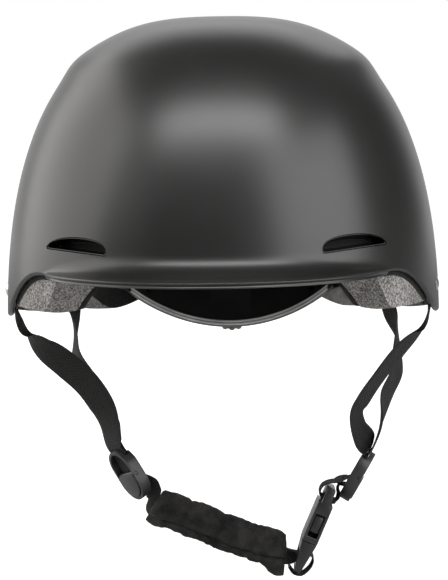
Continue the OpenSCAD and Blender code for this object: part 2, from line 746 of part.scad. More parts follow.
// A block centred on the strap's axis, from one height to another
module block(width, thickness, low, high) {
    translate([-width / 2, -thickness / 2, low]) cube([width, thickness, high - low]);
}
module buckle_socket() {
    window_low = 3;
    window_high = prong_length;
    arm = (buckle_width - webbing_width - 1) / 2;
    color(plastic_black) multmatrix(buckle) difference() {
        union() {
            block(buckle_width, buckle_thickness, 0, socket_length);
            block(buckle_width, bar_thickness, socket_length - 1, bar_z + strap_bar);
        }
        block(cavity_width, cavity_thickness, -1, socket_length - socket_wall);
        block(buckle_width + 2, cavity_thickness, window_low, window_high);
        block(buckle_width - 2 * arm, buckle_thickness, socket_length, bar_z);
    }
}
// The plug's shoulder tapers from the seam to its strap bar, with a tongue that guides it
module buckle_plug() {
    tongue = 5;
    arm = (buckle_width - webbing_width - 1) / 2;
    tip = 3.2;
    color(plastic_black) multmatrix(buckle) difference() {
        union() {
            rotate([0, 90, 0]) linear_extrude(buckle_width - 0.4, center = true) polygon([
                [easy_gap, -buckle_thickness / 2 + 0.1], [easy_gap, buckle_thickness / 2 - 0.1],
                [-plug_bar_z, tip / 2], [-plug_bar_z, -tip / 2]
            ]);
            block(tongue, cavity_thickness - 2 * easy_gap, -1, prong_length);
        }
        block(buckle_width - 2 * arm, buckle_thickness + 2, -shoulder_length - strap_slot, -shoulder_length);
        for (side = [-1, 1]) prong_barrel(side * prong_root, buckle_thickness, sliding_fit);
    }
}
// The round root on which a prong turns, and the seat for it in the plug's shoulder
module prong_barrel(x, length, gap) {
    translate([x, 0, 0]) rotate([90, 0, 0])
        cylinder(h = length, r = prong_beam / 2 + gap, center = true, $fn = 32);
}
// A spring prong with its thumb pad, which sits inside the socket's side window
module prong() {
    thick = cavity_thickness - 2 * easy_gap;
    reach = cavity_width / 2 - easy_gap;
    low = prong_root - prong_beam / 2;
    high = prong_root + prong_beam / 2;
    prong_barrel(prong_root, thick, 0);
    rotate([90, 0, 0]) linear_extrude(thick, center = true) polygon([
        [low, 0], [high, 0], [high, 4], [reach, 5.5], [reach, prong_length - 2],
        [reach - 1, prong_length], [low, prong_length]
    ]);
}
module front_prong() {
    color(plastic_black) multmatrix(buckle) prong();
}
module back_prong() {
    color(plastic_black) multmatrix(buckle) mirror([1, 0, 0]) prong();
}

// Webbing on the buckle's middle plane, y_b out of the socket's face and z_b along it
function on_buckle(y, z) = in_frame(buckle, [0, y, z]);
buckle_side = -axis_of(buckle, 0);
strand_gap = 4;
// The strap that leaves the right divider, goes round the socket's bar and comes back
module buckle_strap() {
    out = axis_of(right_divider, 0);
    slot_z = socket_length + strap_slot / 2;
    upper = exit_y + strand_gap / 2;
    lower = exit_y - strand_gap / 2;
    route = [
        [0, upper, 2], [0, upper, 0.2], [0, upper - 0.8, -2.2],
        [0, lower - 1.8, -2.6], [0, lower, -0.2], [0, lower, 2]
    ];
    strands = [for (p = route) in_frame(right_divider, p)];
    loop = [
        [1, 32.8], [-1.8, 31.2], [-4.4, 28.4], [-4.7, 25], [-3, slot_z + 0.2],
        [0, slot_z - 0.2], [2.8, slot_z + 0.2], [4.6, bar_z - 0.4]
    ];
    color(fabric_black) looped_webbing(concat(
        [for (i = [0 : 2]) [strands[i], out]],
        [for (k = loop) [on_buckle(k[0], k[1]), buckle_side]],
        [for (i = [3 : 5]) [strands[i], out]]
    ));
}

// The chin strap: out of the left divider, through the pad and round the plug's bar
pad_keys = [
    [[-35.9, -11.5, -99.6], [0.38, -0.25, 0.88]], [[-26.1, -14, -103], [0.36, 0.12, 0.90]],
    [[-13.3, -17, -107.3], [0.36, 0.14, 0.89]], [[-0.7, -18, -112.6], [0.36, 0.14, 0.89]],
    [[11.8, -18, -117.1], [0.36, 0.14, 0.89]], [[22.2, -16.8, -120.6], [0.33, 0.25, 0.85]],
    [[28.6, -15, -123.2], [0.22, 0.62, 0.70]]
];
chin_out = axis_of(left_divider, 0);
chin_lead = [
    [in_frame(left_divider, [0, exit_y + 1, 2]), chin_out],
    [in_frame(left_divider, [0, exit_y + 1, -0.8]), chin_out],
    [[-38.9, -8, -90], unit(chin_out + [0, 0.1, 0.2])],
    [[-36.9, -9.4, -94.6], [0.45, -0.6, 0.65]]
];
plug_slot_z = -shoulder_length - strap_slot / 2;
chin_loop = [
    [-5.6, plug_slot_z - 1.6], [0, plug_slot_z - 0.2], [4, plug_slot_z + 0.8], [6, plug_slot_z - 1.8],
    [5.6, plug_slot_z - 6], [3.2, plug_bar_z - 1.6], [-0.8, plug_bar_z - 2.4], [-4.2, plug_bar_z - 0.4]
];
chin_keys = concat(chin_lead, pad_keys, [for (k = chin_loop) [on_buckle(k[0], k[1]), buckle_side]]);
chin_steps = 5;
module chin_strap() {
    color(fabric_black) looped_webbing(chin_keys, chin_steps);
}

// Padded sleeve: full lobes between sewn lines, with a tunnel for the strap
pad_sides = 14;
function oval(p, travel, side, width, thickness, power) = let (
    t = unit(travel),
    w = unit(side - t * (side * t)),
    n = cross(t, w)
) [for (i = [0 : pad_sides - 1]) let (a = 360 * i / pad_sides)
    p + w * width / 2 * signed_pow(cos(a), power) + n * thickness / 2 * signed_pow(sin(a), power)];
module chin_pad() {
    route = spline([for (k = chin_keys) k[0]], chin_steps);
    side = spline([for (k = chin_keys) k[1]], chin_steps);
    first = len(chin_lead) * chin_steps;
    n = (len(pad_keys) - 1) * chin_steps;
    // Fullness runs from 0 on a sewn line to 1 in the middle of a lobe
    function full(i) = abs(sin(180 * chin_pad_lobes * i / n));
    function girth(i) = 1 - chin_pad_tuck + chin_pad_tuck * sqrt(full(i));
    function ring(i, width, thickness, power) =
        oval(route[first + i], travel_at(route, first + i), side[first + i], width, thickness, power);
    color(fabric_black) sleeve(
        [for (i = [0 : n]) ring(i, chin_pad_width * (0.94 + 0.06 * full(i)) + 1,
            chin_pad_thickness * girth(i), 0.75)],
        [for (i = [0 : n]) ring(i, webbing_width + 3 * easy_gap, webbing_thickness + 3 * easy_gap, 0.25)]);
}

// Cradle: pieces are drawn about the cradle's own axis, with +y to the back, then tilted into place
module in_cradle() {
    translate([0, cradle_y, cradle_z]) rotate([-cradle_tilt, 0, 0]) children();
}
// A band about the cradle's axis between two radii and two levels, from one bearing to another
module band(inner, outer, low, high, from, to) {
    rotate([0, 0, from]) rotate_extrude(angle = to - from, $fn = 180)
        translate([inner, low]) square([outer - inner, high - low]);
}
module along_back(low, high) {
    translate([0, low, 0]) rotate([-90, 0, 0]) linear_extrude(high - low) mirror([0, 1]) children();
}
// The plate's outline seen from the front, drawn in by a margin at its lower edge
lower_arc = (pow(cradle_half_span, 2) + pow(cradle_rise, 2)) / (2 * cradle_rise);
upper_arc = 160;
module cradle_outline(margin) {
    intersection() {
        translate([0, lower_arc - cradle_drop]) circle(r = lower_arc - margin, $fn = 120);
        translate([0, cradle_top - upper_arc]) circle(r = upper_arc, $fn = 120);
        square([2 * cradle_half_span, 100], center = true);
    }
}
vent_hole_x = 44.5;
vent_hole_z = 1.8;
lip_depth = 0.9;
dial_stand = 6.5;
dial_back = cradle_radius + dial_stand;
module cradle_plate() {
    color(plastic_black) in_cradle() difference() {
        union() {
            intersection() {
                band(cradle_radius - cradle_plate, cradle_radius, -30, 30, 30, 150);
                along_back(0, 100) cradle_outline(0);
            }
            intersection() {
                band(cradle_radius - cradle_plate - lip_depth, cradle_radius, -30, 30, 30, 150);
                along_back(0, 100) difference() {
                    cradle_outline(0);
                    cradle_outline(cradle_lip);
                }
            }
        }
        for (side = [-1, 1]) translate([side * vent_hole_x, 0, vent_hole_z]) rotate([-90, 0, 0])
            cylinder(h = 100, r = 1.5, $fn = 24);
        translate([0, cradle_radius - pilot_depth, 0]) turned_up()
            cylinder(h = pilot_depth + 1, r = pilot_radius + running_fit, $fn = 32);
    }
    color(plastic_black) {
        translate([-hanger_width / 2, hanger_y - hanger_plate / 2, hanger_low])
            cube([hanger_width, hanger_plate, hanger_z + 8 - hanger_low]);
        translate([0, hanger_y, hanger_z]) rotate([-90, 0, 0])
            cylinder(h = cavity_back - hanger_y + plug_length - 1, r = peg_radius, $fn = 32);
    }
}
// Plastic anchor sunk in the liner, which holds the hanger's peg
module hanger_plug() {
    color(plastic_grey) translate([0, cavity_back + 0.5, hanger_z]) rotate([-90, 0, 0]) difference() {
        cylinder(h = plug_length, r = plug_radius, $fn = 32);
        translate([0, 0, -1]) cylinder(h = plug_length + 2, r = peg_radius + running_fit, $fn = 32);
    }
}

// Rack belts: two layers behind the plate, the left one in front of the right one
left_layer = cradle_radius + 0.4;
right_layer = left_layer + belt_thickness + 0.4;
belt_end = 95;
rack_pitch = 2 * PI * pinion_radius / pinion_teeth;
tooth_depth = 0.9;
slot_margin = 1;
slot_far = belt_travel + pinion_radius + tooth_depth + slot_margin;
slot_near = pinion_radius + tooth_depth + slot_margin;
tail = slot_near + 3.2;
slot_edge = pinion_radius + tooth_depth + 0.35;
// Toothed slot of the left belt: teeth hang from its upper edge, the pinion stands in a gap
module rack_slot() {
    difference() {
        translate([-slot_far, -slot_edge]) square([slot_far + slot_near, 2 * slot_edge]);
        for (k = [-ceil(slot_far / rack_pitch) : ceil(slot_near / rack_pitch)])
            translate([(k + 0.5) * rack_pitch, slot_edge]) polygon([
                [-0.85, 0.1], [0.85, 0.1], [0.35, -tooth_depth - 0.75], [-0.35, -tooth_depth - 0.75]
            ]);
    }
}
// Where the belt's full width ends, and the level of its narrower arm's lower edge
rack_end = 19;
arm_low = -0.5;
module belt_blank(layer) {
    difference() {
        band(layer, layer + belt_thickness, -belt_width / 2, belt_width / 2,
            90 - tail / layer * 180 / PI, 90 + belt_end);
        band(layer - 2, layer + belt_thickness + 2, -belt_width, arm_low,
            90 + rack_end, 93 + belt_end);
    }
}
module left_belt() {
    color(plastic_black) in_cradle() difference() {
        belt_blank(left_layer);
        along_back(cradle_radius - 5, cradle_radius + 10) rack_slot();
    }
}
// The right belt lies in the outer layer, with its teeth on the slot's lower edge
module right_belt() {
    color(plastic_black) in_cradle() difference() {
        mirror([1, 0, 0]) belt_blank(right_layer);
        rotate([0, 180, 0]) along_back(cradle_radius - 5, cradle_radius + 10) rack_slot();
    }
}

// Guides near the temples, in which the belts' front ends slide
guide_from = 80;
guide_to = 92;
guide_inner = left_layer - 1.5;
guide_outer = right_layer + belt_thickness + 1.5;
guide_low = arm_low - 2;
guide_high = belt_width / 2 + 2;
guide_peg_z = (guide_low + guide_high) / 2;
guide_peg = 2.5;
guide_mid = (guide_from + guide_to) / 2;
module guide_pocket() {
    in_cradle() {
        band(60, channel_outer + 1, arm_low - 1, belt_width / 2 + 1, 125, 91 + belt_end);
        band(guide_inner - 10, guide_outer + easy_gap, guide_low - easy_gap, guide_high + easy_gap,
            90 + guide_from - 0.3, 90 + guide_to + 0.3);
        rotate([0, 0, 90 + guide_mid]) translate([guide_outer - 4, 0, guide_peg_z]) rotate([0, 90, 0])
            cylinder(h = 12, r = guide_peg + easy_gap, $fn = 32);
    }
}
module belt_guide(layer) {
    in_cradle() {
        difference() {
            band(guide_inner, guide_outer, guide_low, guide_high, 90 + guide_from, 90 + guide_to);
            band(layer - sliding_fit, layer + belt_thickness + sliding_fit,
                arm_low - easy_gap, belt_width / 2 + easy_gap, 85 + guide_from, 95 + guide_to);
        }
        rotate([0, 0, 90 + guide_mid]) translate([guide_outer - 0.5, 0, guide_peg_z]) rotate([0, 90, 0])
            cylinder(h = 7, r = guide_peg, $fn = 32);
    }
}
module belt_guides() {
    color(plastic_grey) {
        belt_guide(left_layer);
        mirror([1, 0, 0]) belt_guide(right_layer);
    }
}

// Dial: all about the cradle's y axis
pilot_radius = 2;
pilot_depth = 1.3;
hub_radius = 3;
channel_outer = right_layer + belt_thickness + 0.3;
cover_outer = channel_outer + 2;
cover_half_angle = 18.5;
cover_height = belt_width / 2 + 2.4;
boss_radius = 11;
ring_inner = 8;
ring_outer = boss_radius;
ring_thickness = 1.2;
knob_low = dial_back + 0.4;
knob_cavity = ring_thickness + 1.6;
hub_top = knob_low + knob_cavity + 2.4;
module turned_up() {
    rotate([-90, 0, 0]) children();
}
module dial_cover() {
    color(plastic_black) in_cradle() difference() {
        union() {
            band(cradle_radius + 0.1, cover_outer, -cover_height, cover_height,
                90 - cover_half_angle, 90 + cover_half_angle);
            translate([0, channel_outer + 0.2, 0]) turned_up()
                cylinder(h = dial_back - channel_outer - 0.2, r = boss_radius, $fn = 64);
        }
        band(cradle_radius - 1, channel_outer,
            -belt_width / 2 - easy_gap, belt_width / 2 + easy_gap, 60, 120);
        turned_up() cylinder(h = 100, r = hub_radius + running_fit, $fn = 40);
    }
}
// Toothed ring on the cover, which the spring's arms click over
module click_ring() {
    notches = 24;
    color(plastic_grey) in_cradle() translate([0, dial_back, 0]) turned_up() difference() {
        cylinder(h = ring_thickness, r = ring_outer, $fn = 64);
        translate([0, 0, -1]) cylinder(h = ring_thickness + 2, r = ring_inner, $fn = 48);
        for (k = [0 : notches - 1]) rotate([0, 0, 360 * k / notches])
            translate([ring_inner, 0, -1]) cylinder(h = ring_thickness + 2, r = 0.6, $fn = 16);
    }
}
module click_spring() {
    color(bright_steel) in_cradle() translate([0, dial_back + 0.4, 0]) turned_up() difference() {
        union() {
            cylinder(h = 1, r = hub_radius + 2, $fn = 40);
            translate([-0.9, -ring_inner + 0.2, 0]) cube([1.8, 2 * ring_inner - 0.4, 1]);
        }
        translate([0, 0, -1]) cylinder(h = 3, r = hub_radius + running_fit, $fn = 40);
    }
}
module dial_pinion() {
    color(plastic_grey) in_cradle() turned_up() difference() {
        union() {
            translate([0, 0, cradle_radius - pilot_depth + 0.1]) cylinder(h = 3, r = pilot_radius, $fn = 32);
            translate([0, 0, cradle_radius + 0.3]) {
                cylinder(h = channel_outer - cradle_radius - 0.5, r = pinion_radius - 1.15, $fn = 32);
                linear_extrude(channel_outer - cradle_radius - 0.5)
                    for (k = [0 : pinion_teeth - 1]) rotate([0, 0, 90 + 360 * k / pinion_teeth])
                        polygon([
                            [pinion_radius - 1.6, -0.8], [pinion_radius, -0.5],
                            [pinion_radius + tooth_depth, -0.25], [pinion_radius + tooth_depth, 0.25],
                            [pinion_radius, 0.5], [pinion_radius - 1.6, 0.8]
                        ]);
            }
            translate([0, 0, channel_outer - 0.2])
                cylinder(h = hub_top - channel_outer + 0.2, r = hub_radius, $fn = 40);
        }
        translate([0, 0, hub_top - 7]) cylinder(h = 8, r = screw_radius + 0.05, $fn = 24);
    }
}
screw_radius = 1.2;
screw_head = 3;
knob_top = knob_low + dial_thickness;
module dial_knob() {
    color(plastic_black) in_cradle() turned_up() difference() {
        translate([0, 0, knob_low]) cylinder(h = dial_thickness, r = dial_radius, $fn = 72);
        translate([0, 0, knob_low - 1]) cylinder(h = knob_cavity + 1, r = ring_outer + 0.8, $fn = 64);
        translate([0, 0, knob_low])
            cylinder(h = hub_top - knob_low + 0.1, r = hub_radius + running_fit, $fn = 40);
        translate([0, 0, knob_low]) cylinder(h = dial_thickness + 1, r = screw_radius + 0.2, $fn = 24);
        translate([0, 0, knob_top - 2]) cylinder(h = 3, r = screw_head + 0.2, $fn = 32);
        for (k = [0 : dial_flutes - 1]) rotate([0, 0, 360 * k / dial_flutes])
            translate([dial_radius + 0.6, 0, knob_low - 1])
                cylinder(h = dial_thickness + 2, r = 1.4, $fn = 20);
    }
}
module knob_screw() {
    color(bright_steel) in_cradle() turned_up() {
        translate([0, 0, knob_top - 1.9]) cylinder(h = 1.5, r = screw_head, $fn = 32);
        translate([0, 0, hub_top - 6]) cylinder(h = knob_top - hub_top + 4.5, r = screw_radius, $fn = 24);
    }
}

outer_shell();
eps_liner();
left_vent_insert();
right_vent_insert();
brow_pad();
crown_pad();
left_side_pad();
right_side_pad();
rear_pad();
strap_rivets();
rivet_washers();
left_front_strap();
left_rear_strap();
right_front_strap();
right_rear_strap();
left_divider_tray();
left_divider_cam();
right_divider_tray();
right_divider_cam();
buckle_strap();
buckle_socket();
buckle_plug();
front_prong();
back_prong();
chin_strap();
chin_pad();
cradle_plate();
hanger_plug();
belt_guides();
left_belt();
right_belt();
dial_cover();
click_ring();
click_spring();
dial_pinion();
dial_knob();
knob_screw();
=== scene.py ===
# A bicycle helmet's looks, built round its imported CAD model. Blender 4.5, metres, the CAD's own frame:
# -Y is the front of the helmet, +Z is up, and the origin is the middle of the head opening.
import json
import math

import bmesh
import bpy
import numpy as np
from mathutils import Matrix, Vector
from mathutils.bvhtree import BVHTree

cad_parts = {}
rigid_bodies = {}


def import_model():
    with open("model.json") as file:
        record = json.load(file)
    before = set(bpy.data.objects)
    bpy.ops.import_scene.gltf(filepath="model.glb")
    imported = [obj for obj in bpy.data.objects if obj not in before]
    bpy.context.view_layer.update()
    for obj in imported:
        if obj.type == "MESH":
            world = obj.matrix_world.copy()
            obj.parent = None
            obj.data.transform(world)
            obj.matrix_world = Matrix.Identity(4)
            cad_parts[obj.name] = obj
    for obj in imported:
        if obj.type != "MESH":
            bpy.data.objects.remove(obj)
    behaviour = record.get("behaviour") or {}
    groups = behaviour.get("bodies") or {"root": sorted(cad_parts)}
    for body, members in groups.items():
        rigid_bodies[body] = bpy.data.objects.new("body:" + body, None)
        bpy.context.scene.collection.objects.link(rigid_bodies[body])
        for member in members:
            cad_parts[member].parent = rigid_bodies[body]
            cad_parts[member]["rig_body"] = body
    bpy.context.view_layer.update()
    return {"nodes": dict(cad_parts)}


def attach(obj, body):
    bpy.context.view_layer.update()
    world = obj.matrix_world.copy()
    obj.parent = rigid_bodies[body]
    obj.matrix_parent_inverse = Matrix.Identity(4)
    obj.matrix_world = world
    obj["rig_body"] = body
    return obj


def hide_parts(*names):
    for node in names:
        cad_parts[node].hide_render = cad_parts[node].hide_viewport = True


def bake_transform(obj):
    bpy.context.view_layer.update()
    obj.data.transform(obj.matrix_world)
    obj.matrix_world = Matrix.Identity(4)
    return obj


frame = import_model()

MM = 0.001
ROOT = "helmet"

# Sizes of the shell in millimetres. They are the CAD's, except that the brim's crease and the vents'
# outline follow the photograph more closely, by up to about two millimetres.
SHELL_WIDTH, SHELL_HEIGHT = 217, 146
FRONT_DEPTH, REAR_DEPTH = 125, 138
SHELL_WALL = 3
PLAN_POWER, CROWN_POWER, SIDE_POWER = 2.3, 2.9, 2.32
SHOULDER_RIDGE, SHOULDER_DROP, RIDGE_SPREAD = 2.2, 20.7, 8
EQUATOR_Z = -10
BRIM_REACH, BRIM_FILLET, BRIM_HALF_ANGLE = 22, 11, 46
RIM_BAND, BRIM_TAPER = 1.2, 3.7
RIM_BROW, RIM_FLAP, RIM_EAR, RIM_NAPE, RIM_BACK = 24, -0.5, 4, -9, 11
RIM_KEYS = [(0, RIM_BROW), (BRIM_HALF_ANGLE + 3, RIM_BROW + 1), (84, RIM_FLAP), (92, RIM_FLAP),
            (103, RIM_EAR), (128, RIM_NAPE), (180, RIM_BACK)]

# Sizes of the liner and pads
LINER_THICKNESS, LINER_SETBACK, LINING_GAP = 27, 1.5, 0.3
TEMPLE_Z, TEMPLE_BEVEL = 6, 9
# The temple's bevel comes in and goes out over these bearings and spans, and fades over this height
BEVEL_IN, BEVEL_OUT, BEVEL_RISE = (36, 10), (80, 12), 24
PAD_THICKNESS = 7
LINER_KEYS = [(0, RIM_BROW + 3), (40, RIM_BROW + 3), (50, TEMPLE_Z), (74, TEMPLE_Z),
              (85, RIM_FLAP + LINER_SETBACK), (93, RIM_FLAP + LINER_SETBACK),
              (103, RIM_EAR + LINER_SETBACK), (128, RIM_NAPE + LINER_SETBACK),
              (180, RIM_BACK + LINER_SETBACK)]
LINER_OUTER = SHELL_WALL + 2 * LINING_GAP
LINER_INNER = LINER_OUTER + LINER_THICKNESS
LINER_COLUMNS, LINER_ROWS = 48, 12
# The rivets' recess in the foam: half its width, how far it runs down from the rivet, and its depth
RECESS_HALF, RECESS_DROP, RECESS_DEPTH = 9, 45, 8.15

# Front vents
VENT_LENGTH, VENT_HEIGHT, VENT_Z, VENT_BEARING, VENT_TILT, VENT_DEPTH = 39, 7.4, 39, 35.4, 3.5, 9
VENT_TIP, VENT_CORNER = 1.2, 1.1
# The upper edge's shape: how fast it rises and falls, and the highest value of that curve
VENT_RISE, VENT_FALL, VENT_CREST = 0.5, 0.3, 0.589

# Straps, dividers, buckle and chin sleeve. A rivet's place is its bearing in degrees and its height.
WEBBING_WIDTH, WEBBING_THICKNESS = 15, 1
FRONT_RIVET, REAR_RIVET = (78.5, 12.7), (126.6, 6)
DIVIDER_LENGTH = 28
EXIT_Y, STRAND_GAP = -5.2, 4
SOCKET_LENGTH, STRAP_SLOT = 21, 4
SHOULDER_LENGTH, PLUG_BAR = 5.5, 6.5
PAD_WIDTH, CHIN_PAD_THICKNESS, CHIN_PAD_LOBES = 17, 9, 4


# Plain helpers on numbers and numpy arrays
def signed_pow(v, e):
    return np.sign(v) * np.abs(v) ** e


def smooth(u):
    return (1 - np.cos(np.pi * np.clip(u, 0, 1))) / 2


def mix(a, b, u):
    return a + (b - a) * u


def unit(v):
    v = np.asarray(v, float)
    return v / np.linalg.norm(v, axis=-1, keepdims=True)


def keyed(keys, x):
    """A value that eases from key to key, as the CAD's rims do."""
    k = np.array(keys, float)
    x = np.clip(x, k[0, 0], k[-1, 0])
    i = np.clip(np.searchsorted(k[:, 0], x, side="left") - 1, 0, len(k) - 2)
    u = (x - k[i, 0]) / (k[i + 1, 0] - k[i, 0])
    return mix(k[i, 1], k[i + 1, 1], smooth(u))


def spline(keys, steps):
    """Points on a curve through given keys."""
    k = np.array(keys, float)
    out = []
    for i in range(len(k) - 1):
        a, b, c, d = k[max(i - 1, 0)], k[i], k[i + 1], k[min(i + 2, len(k) - 1)]
        for s in range(steps):
            u = s / steps
            out.append(0.5 * (2 * b + (c - a) * u + (2 * a - 5 * b + 4 * c - d) * u * u
                              + (3 * b - 3 * c + d - a) * u ** 3))
    return np.array(out + [k[-1]])


def along(route):
    """The unit direction of travel at each point of a route."""
    return unit(np.gradient(route, axis=0))


def frame_at(place, z_dir, y_hint):
    """A 4 x 4 matrix with the given place, z direction and rough y direction, in millimetres."""
    z = unit(z_dir)
    y = unit(np.asarray(y_hint, float) - z * float(np.dot(y_hint, z)))
    m = np.eye(4)
    m[:3, 0], m[:3, 1], m[:3, 2], m[:3, 3] = np.cross(y, z), y, z, place
    return m


def in_frame(m, points):
    p = np.asarray(points, float)
    return p @ m[:3, :3].T + m[:3, 3]


# The dome and the shell's skin: t is the bearing from the front, p the rise, both in degrees
HALF_WIDTH = SHELL_WIDTH / 2
CROWN_RISE = SHELL_HEIGHT - EQUATOR_Z


def bearing(t):
    t = np.mod(t, 360)
    return np.where(t > 180, 360 - t, t)


def rise_at(z):
    return np.degrees(np.arcsin(((np.asarray(z, float) - EQUATOR_Z) / CROWN_RISE) ** (SIDE_POWER / 2)))


def dome(t, p):
    t, p = np.broadcast_arrays(np.asarray(t, float), np.asarray(p, float))
    tr, pr = np.radians(t), np.radians(p)
    z = EQUATOR_Z + CROWN_RISE * np.sin(pr) ** (2 / SIDE_POWER)
    s = np.maximum(np.cos(pr), 0) ** (2 / CROWN_POWER)
    ridge = SHOULDER_RIDGE * np.exp(-((z - SHELL_HEIGHT + SHOULDER_DROP) / RIDGE_SPREAD) ** 2)
    out = ridge * smooth((bearing(t) - 20) / 60) * smooth(s / 0.4)
    depth = np.where(np.cos(tr) > 0, FRONT_DEPTH, REAR_DEPTH)
    return np.stack([(HALF_WIDTH * s + out) * signed_pow(np.sin(tr), 2 / PLAN_POWER),
                     -(depth * s + out) * signed_pow(np.cos(tr), 2 / PLAN_POWER), z], -1)


def dome_normal(t, p):
    across = dome(t + 1, p) - dome(t - 1, p)
    up = dome(t, np.minimum(p + 1, 89.5)) - dome(t, np.maximum(p - 1, 0))
    return unit(np.cross(across, up))


def inside(t, p, depth):
    return dome(t, p) - dome_normal(t, p) * np.asarray(depth)[..., None]


def rim_z(t):
    return keyed(RIM_KEYS, bearing(t))


def liner_z(t):
    return keyed(LINER_KEYS, bearing(t))


def brim_share(t):
    return np.maximum(0, 1 - (bearing(t) / BRIM_HALF_ANGLE) ** 2) ** 0.9


def fillet(t):
    return mix(RIM_BAND, BRIM_FILLET, 1 - np.minimum(1, bearing(t) / BRIM_HALF_ANGLE) ** BRIM_TAPER)


def brim_skin(t, v):
    """The lower band of the skin, from the lip at v = 0 to where the dome takes over at v = 1."""
    o = (1 - v) ** 1.6
    drop = 0.86 * np.sqrt(1 - (1 - o) ** 4.5) + 0.14 * o
    p = rise_at(rim_z(t) + fillet(t) * (1 - drop))
    n = dome_normal(t, p)
    n[..., 2] = 0
    return dome(t, p) + unit(n) * (BRIM_REACH * brim_share(t) * o)[..., None]


def inner_depth(t, p):
    """The depth of the liner's inner face under the dome."""
    b = bearing(t)
    low = 1 - smooth((dome(t, p)[..., 2] - TEMPLE_Z) / BEVEL_RISE)
    return LINER_INNER - TEMPLE_BEVEL * low * smooth((b - BEVEL_IN[0]) / BEVEL_IN[1]) \
        * (1 - smooth((b - BEVEL_OUT[0]) / BEVEL_OUT[1]))


# Mesh building
def new_object(name, mesh, material=None):
    obj = bpy.data.objects.new(name, mesh)
    bpy.context.scene.collection.objects.link(obj)
    if material is not None:
        obj.data.materials.clear()
        obj.data.materials.append(material)
    return obj


def mesh_from(name, points, faces, smooth_faces=True):
    """A mesh from points in millimetres."""
    mesh = bpy.data.meshes.new(name)
    mesh.from_pydata([tuple(float(c) * MM for c in p) for p in points], [], faces)
    mesh.validate()
    if smooth_faces:
        mesh.shade_smooth()
    mesh.update()
    return mesh


def grid_faces(rows, cols, shift=0, closed=True):
    return [(shift + j * cols + i, shift + j * cols + (i + 1) % cols,
             shift + (j + 1) * cols + (i + 1) % cols, shift + (j + 1) * cols + i)
            for j in range(rows - 1) for i in range(cols if closed else cols - 1)]


def loft(name, rings, capped=True, smooth_faces=True):
    """A skin through closed rings of equally many points."""
    k = len(rings[0])
    points = np.concatenate([np.asarray(r, float) for r in rings])
    faces = grid_faces(len(rings), k)
    if capped:
        last = (len(rings) - 1) * k
        faces.append(tuple(range(k))[::-1])
        faces.append(tuple(last + i for i in range(k)))
    return mesh_from(name, points, faces, smooth_faces)


def outward(obj):
    bm = bmesh.new()
    bm.from_mesh(obj.data)
    bmesh.ops.recalc_face_normals(bm, faces=bm.faces)
    bm.to_mesh(obj.data)
    bm.free()
    return obj


def apply_modifiers(obj):
    depsgraph = bpy.context.evaluated_depsgraph_get()
    mesh = bpy.data.meshes.new_from_object(obj.evaluated_get(depsgraph))
    obj.modifiers.clear()
    obj.data = mesh


def cut_away(obj, cutter):
    m = obj.modifiers.new("cut", "BOOLEAN")
    m.operation = "DIFFERENCE"
    m.solver = "EXACT"
    m.object = cutter
    apply_modifiers(obj)
    bpy.data.objects.remove(cutter)


def sharpen(obj, angle):
    """Smooth shading with hard edges past an angle in degrees."""
    obj.data.shade_smooth()
    obj.data.set_sharp_from_angle(angle=math.radians(angle))
    return obj


def round_edges(obj, width, segments, angle):
    """Edges sharper than an angle in degrees, rounded over a width in millimetres."""
    m = obj.modifiers.new("edge", "BEVEL")
    m.width = width * MM
    m.segments = segments
    m.limit_method = "ANGLE"
    m.angle_limit = math.radians(angle)
    apply_modifiers(obj)


def keep_attribute(obj, name, values):
    a = obj.data.attributes.new(name, "FLOAT_VECTOR", "POINT")
    a.data.foreach_set("vector", np.asarray(values, np.float32).ravel())


def dressed(node, material, bevel, segments=2):
    """A copy of a CAD node with rounded edges and its own material, which stands for the node."""
    source = frame["nodes"][node]
    obj = new_object(node + "_dressed", source.data.copy(), material)
    bm = bmesh.new()
    bm.from_mesh(obj.data)
    bmesh.ops.remove_doubles(bm, verts=bm.verts, dist=1e-6)
    bmesh.ops.dissolve_limit(bm, angle_limit=math.radians(0.6), verts=bm.verts, edges=bm.edges)
    bm.to_mesh(obj.data)
    bm.free()
    round_edges(obj, bevel, segments, 30)
    sharpen(obj, 32)
    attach(obj, source["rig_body"])
    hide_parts(node)


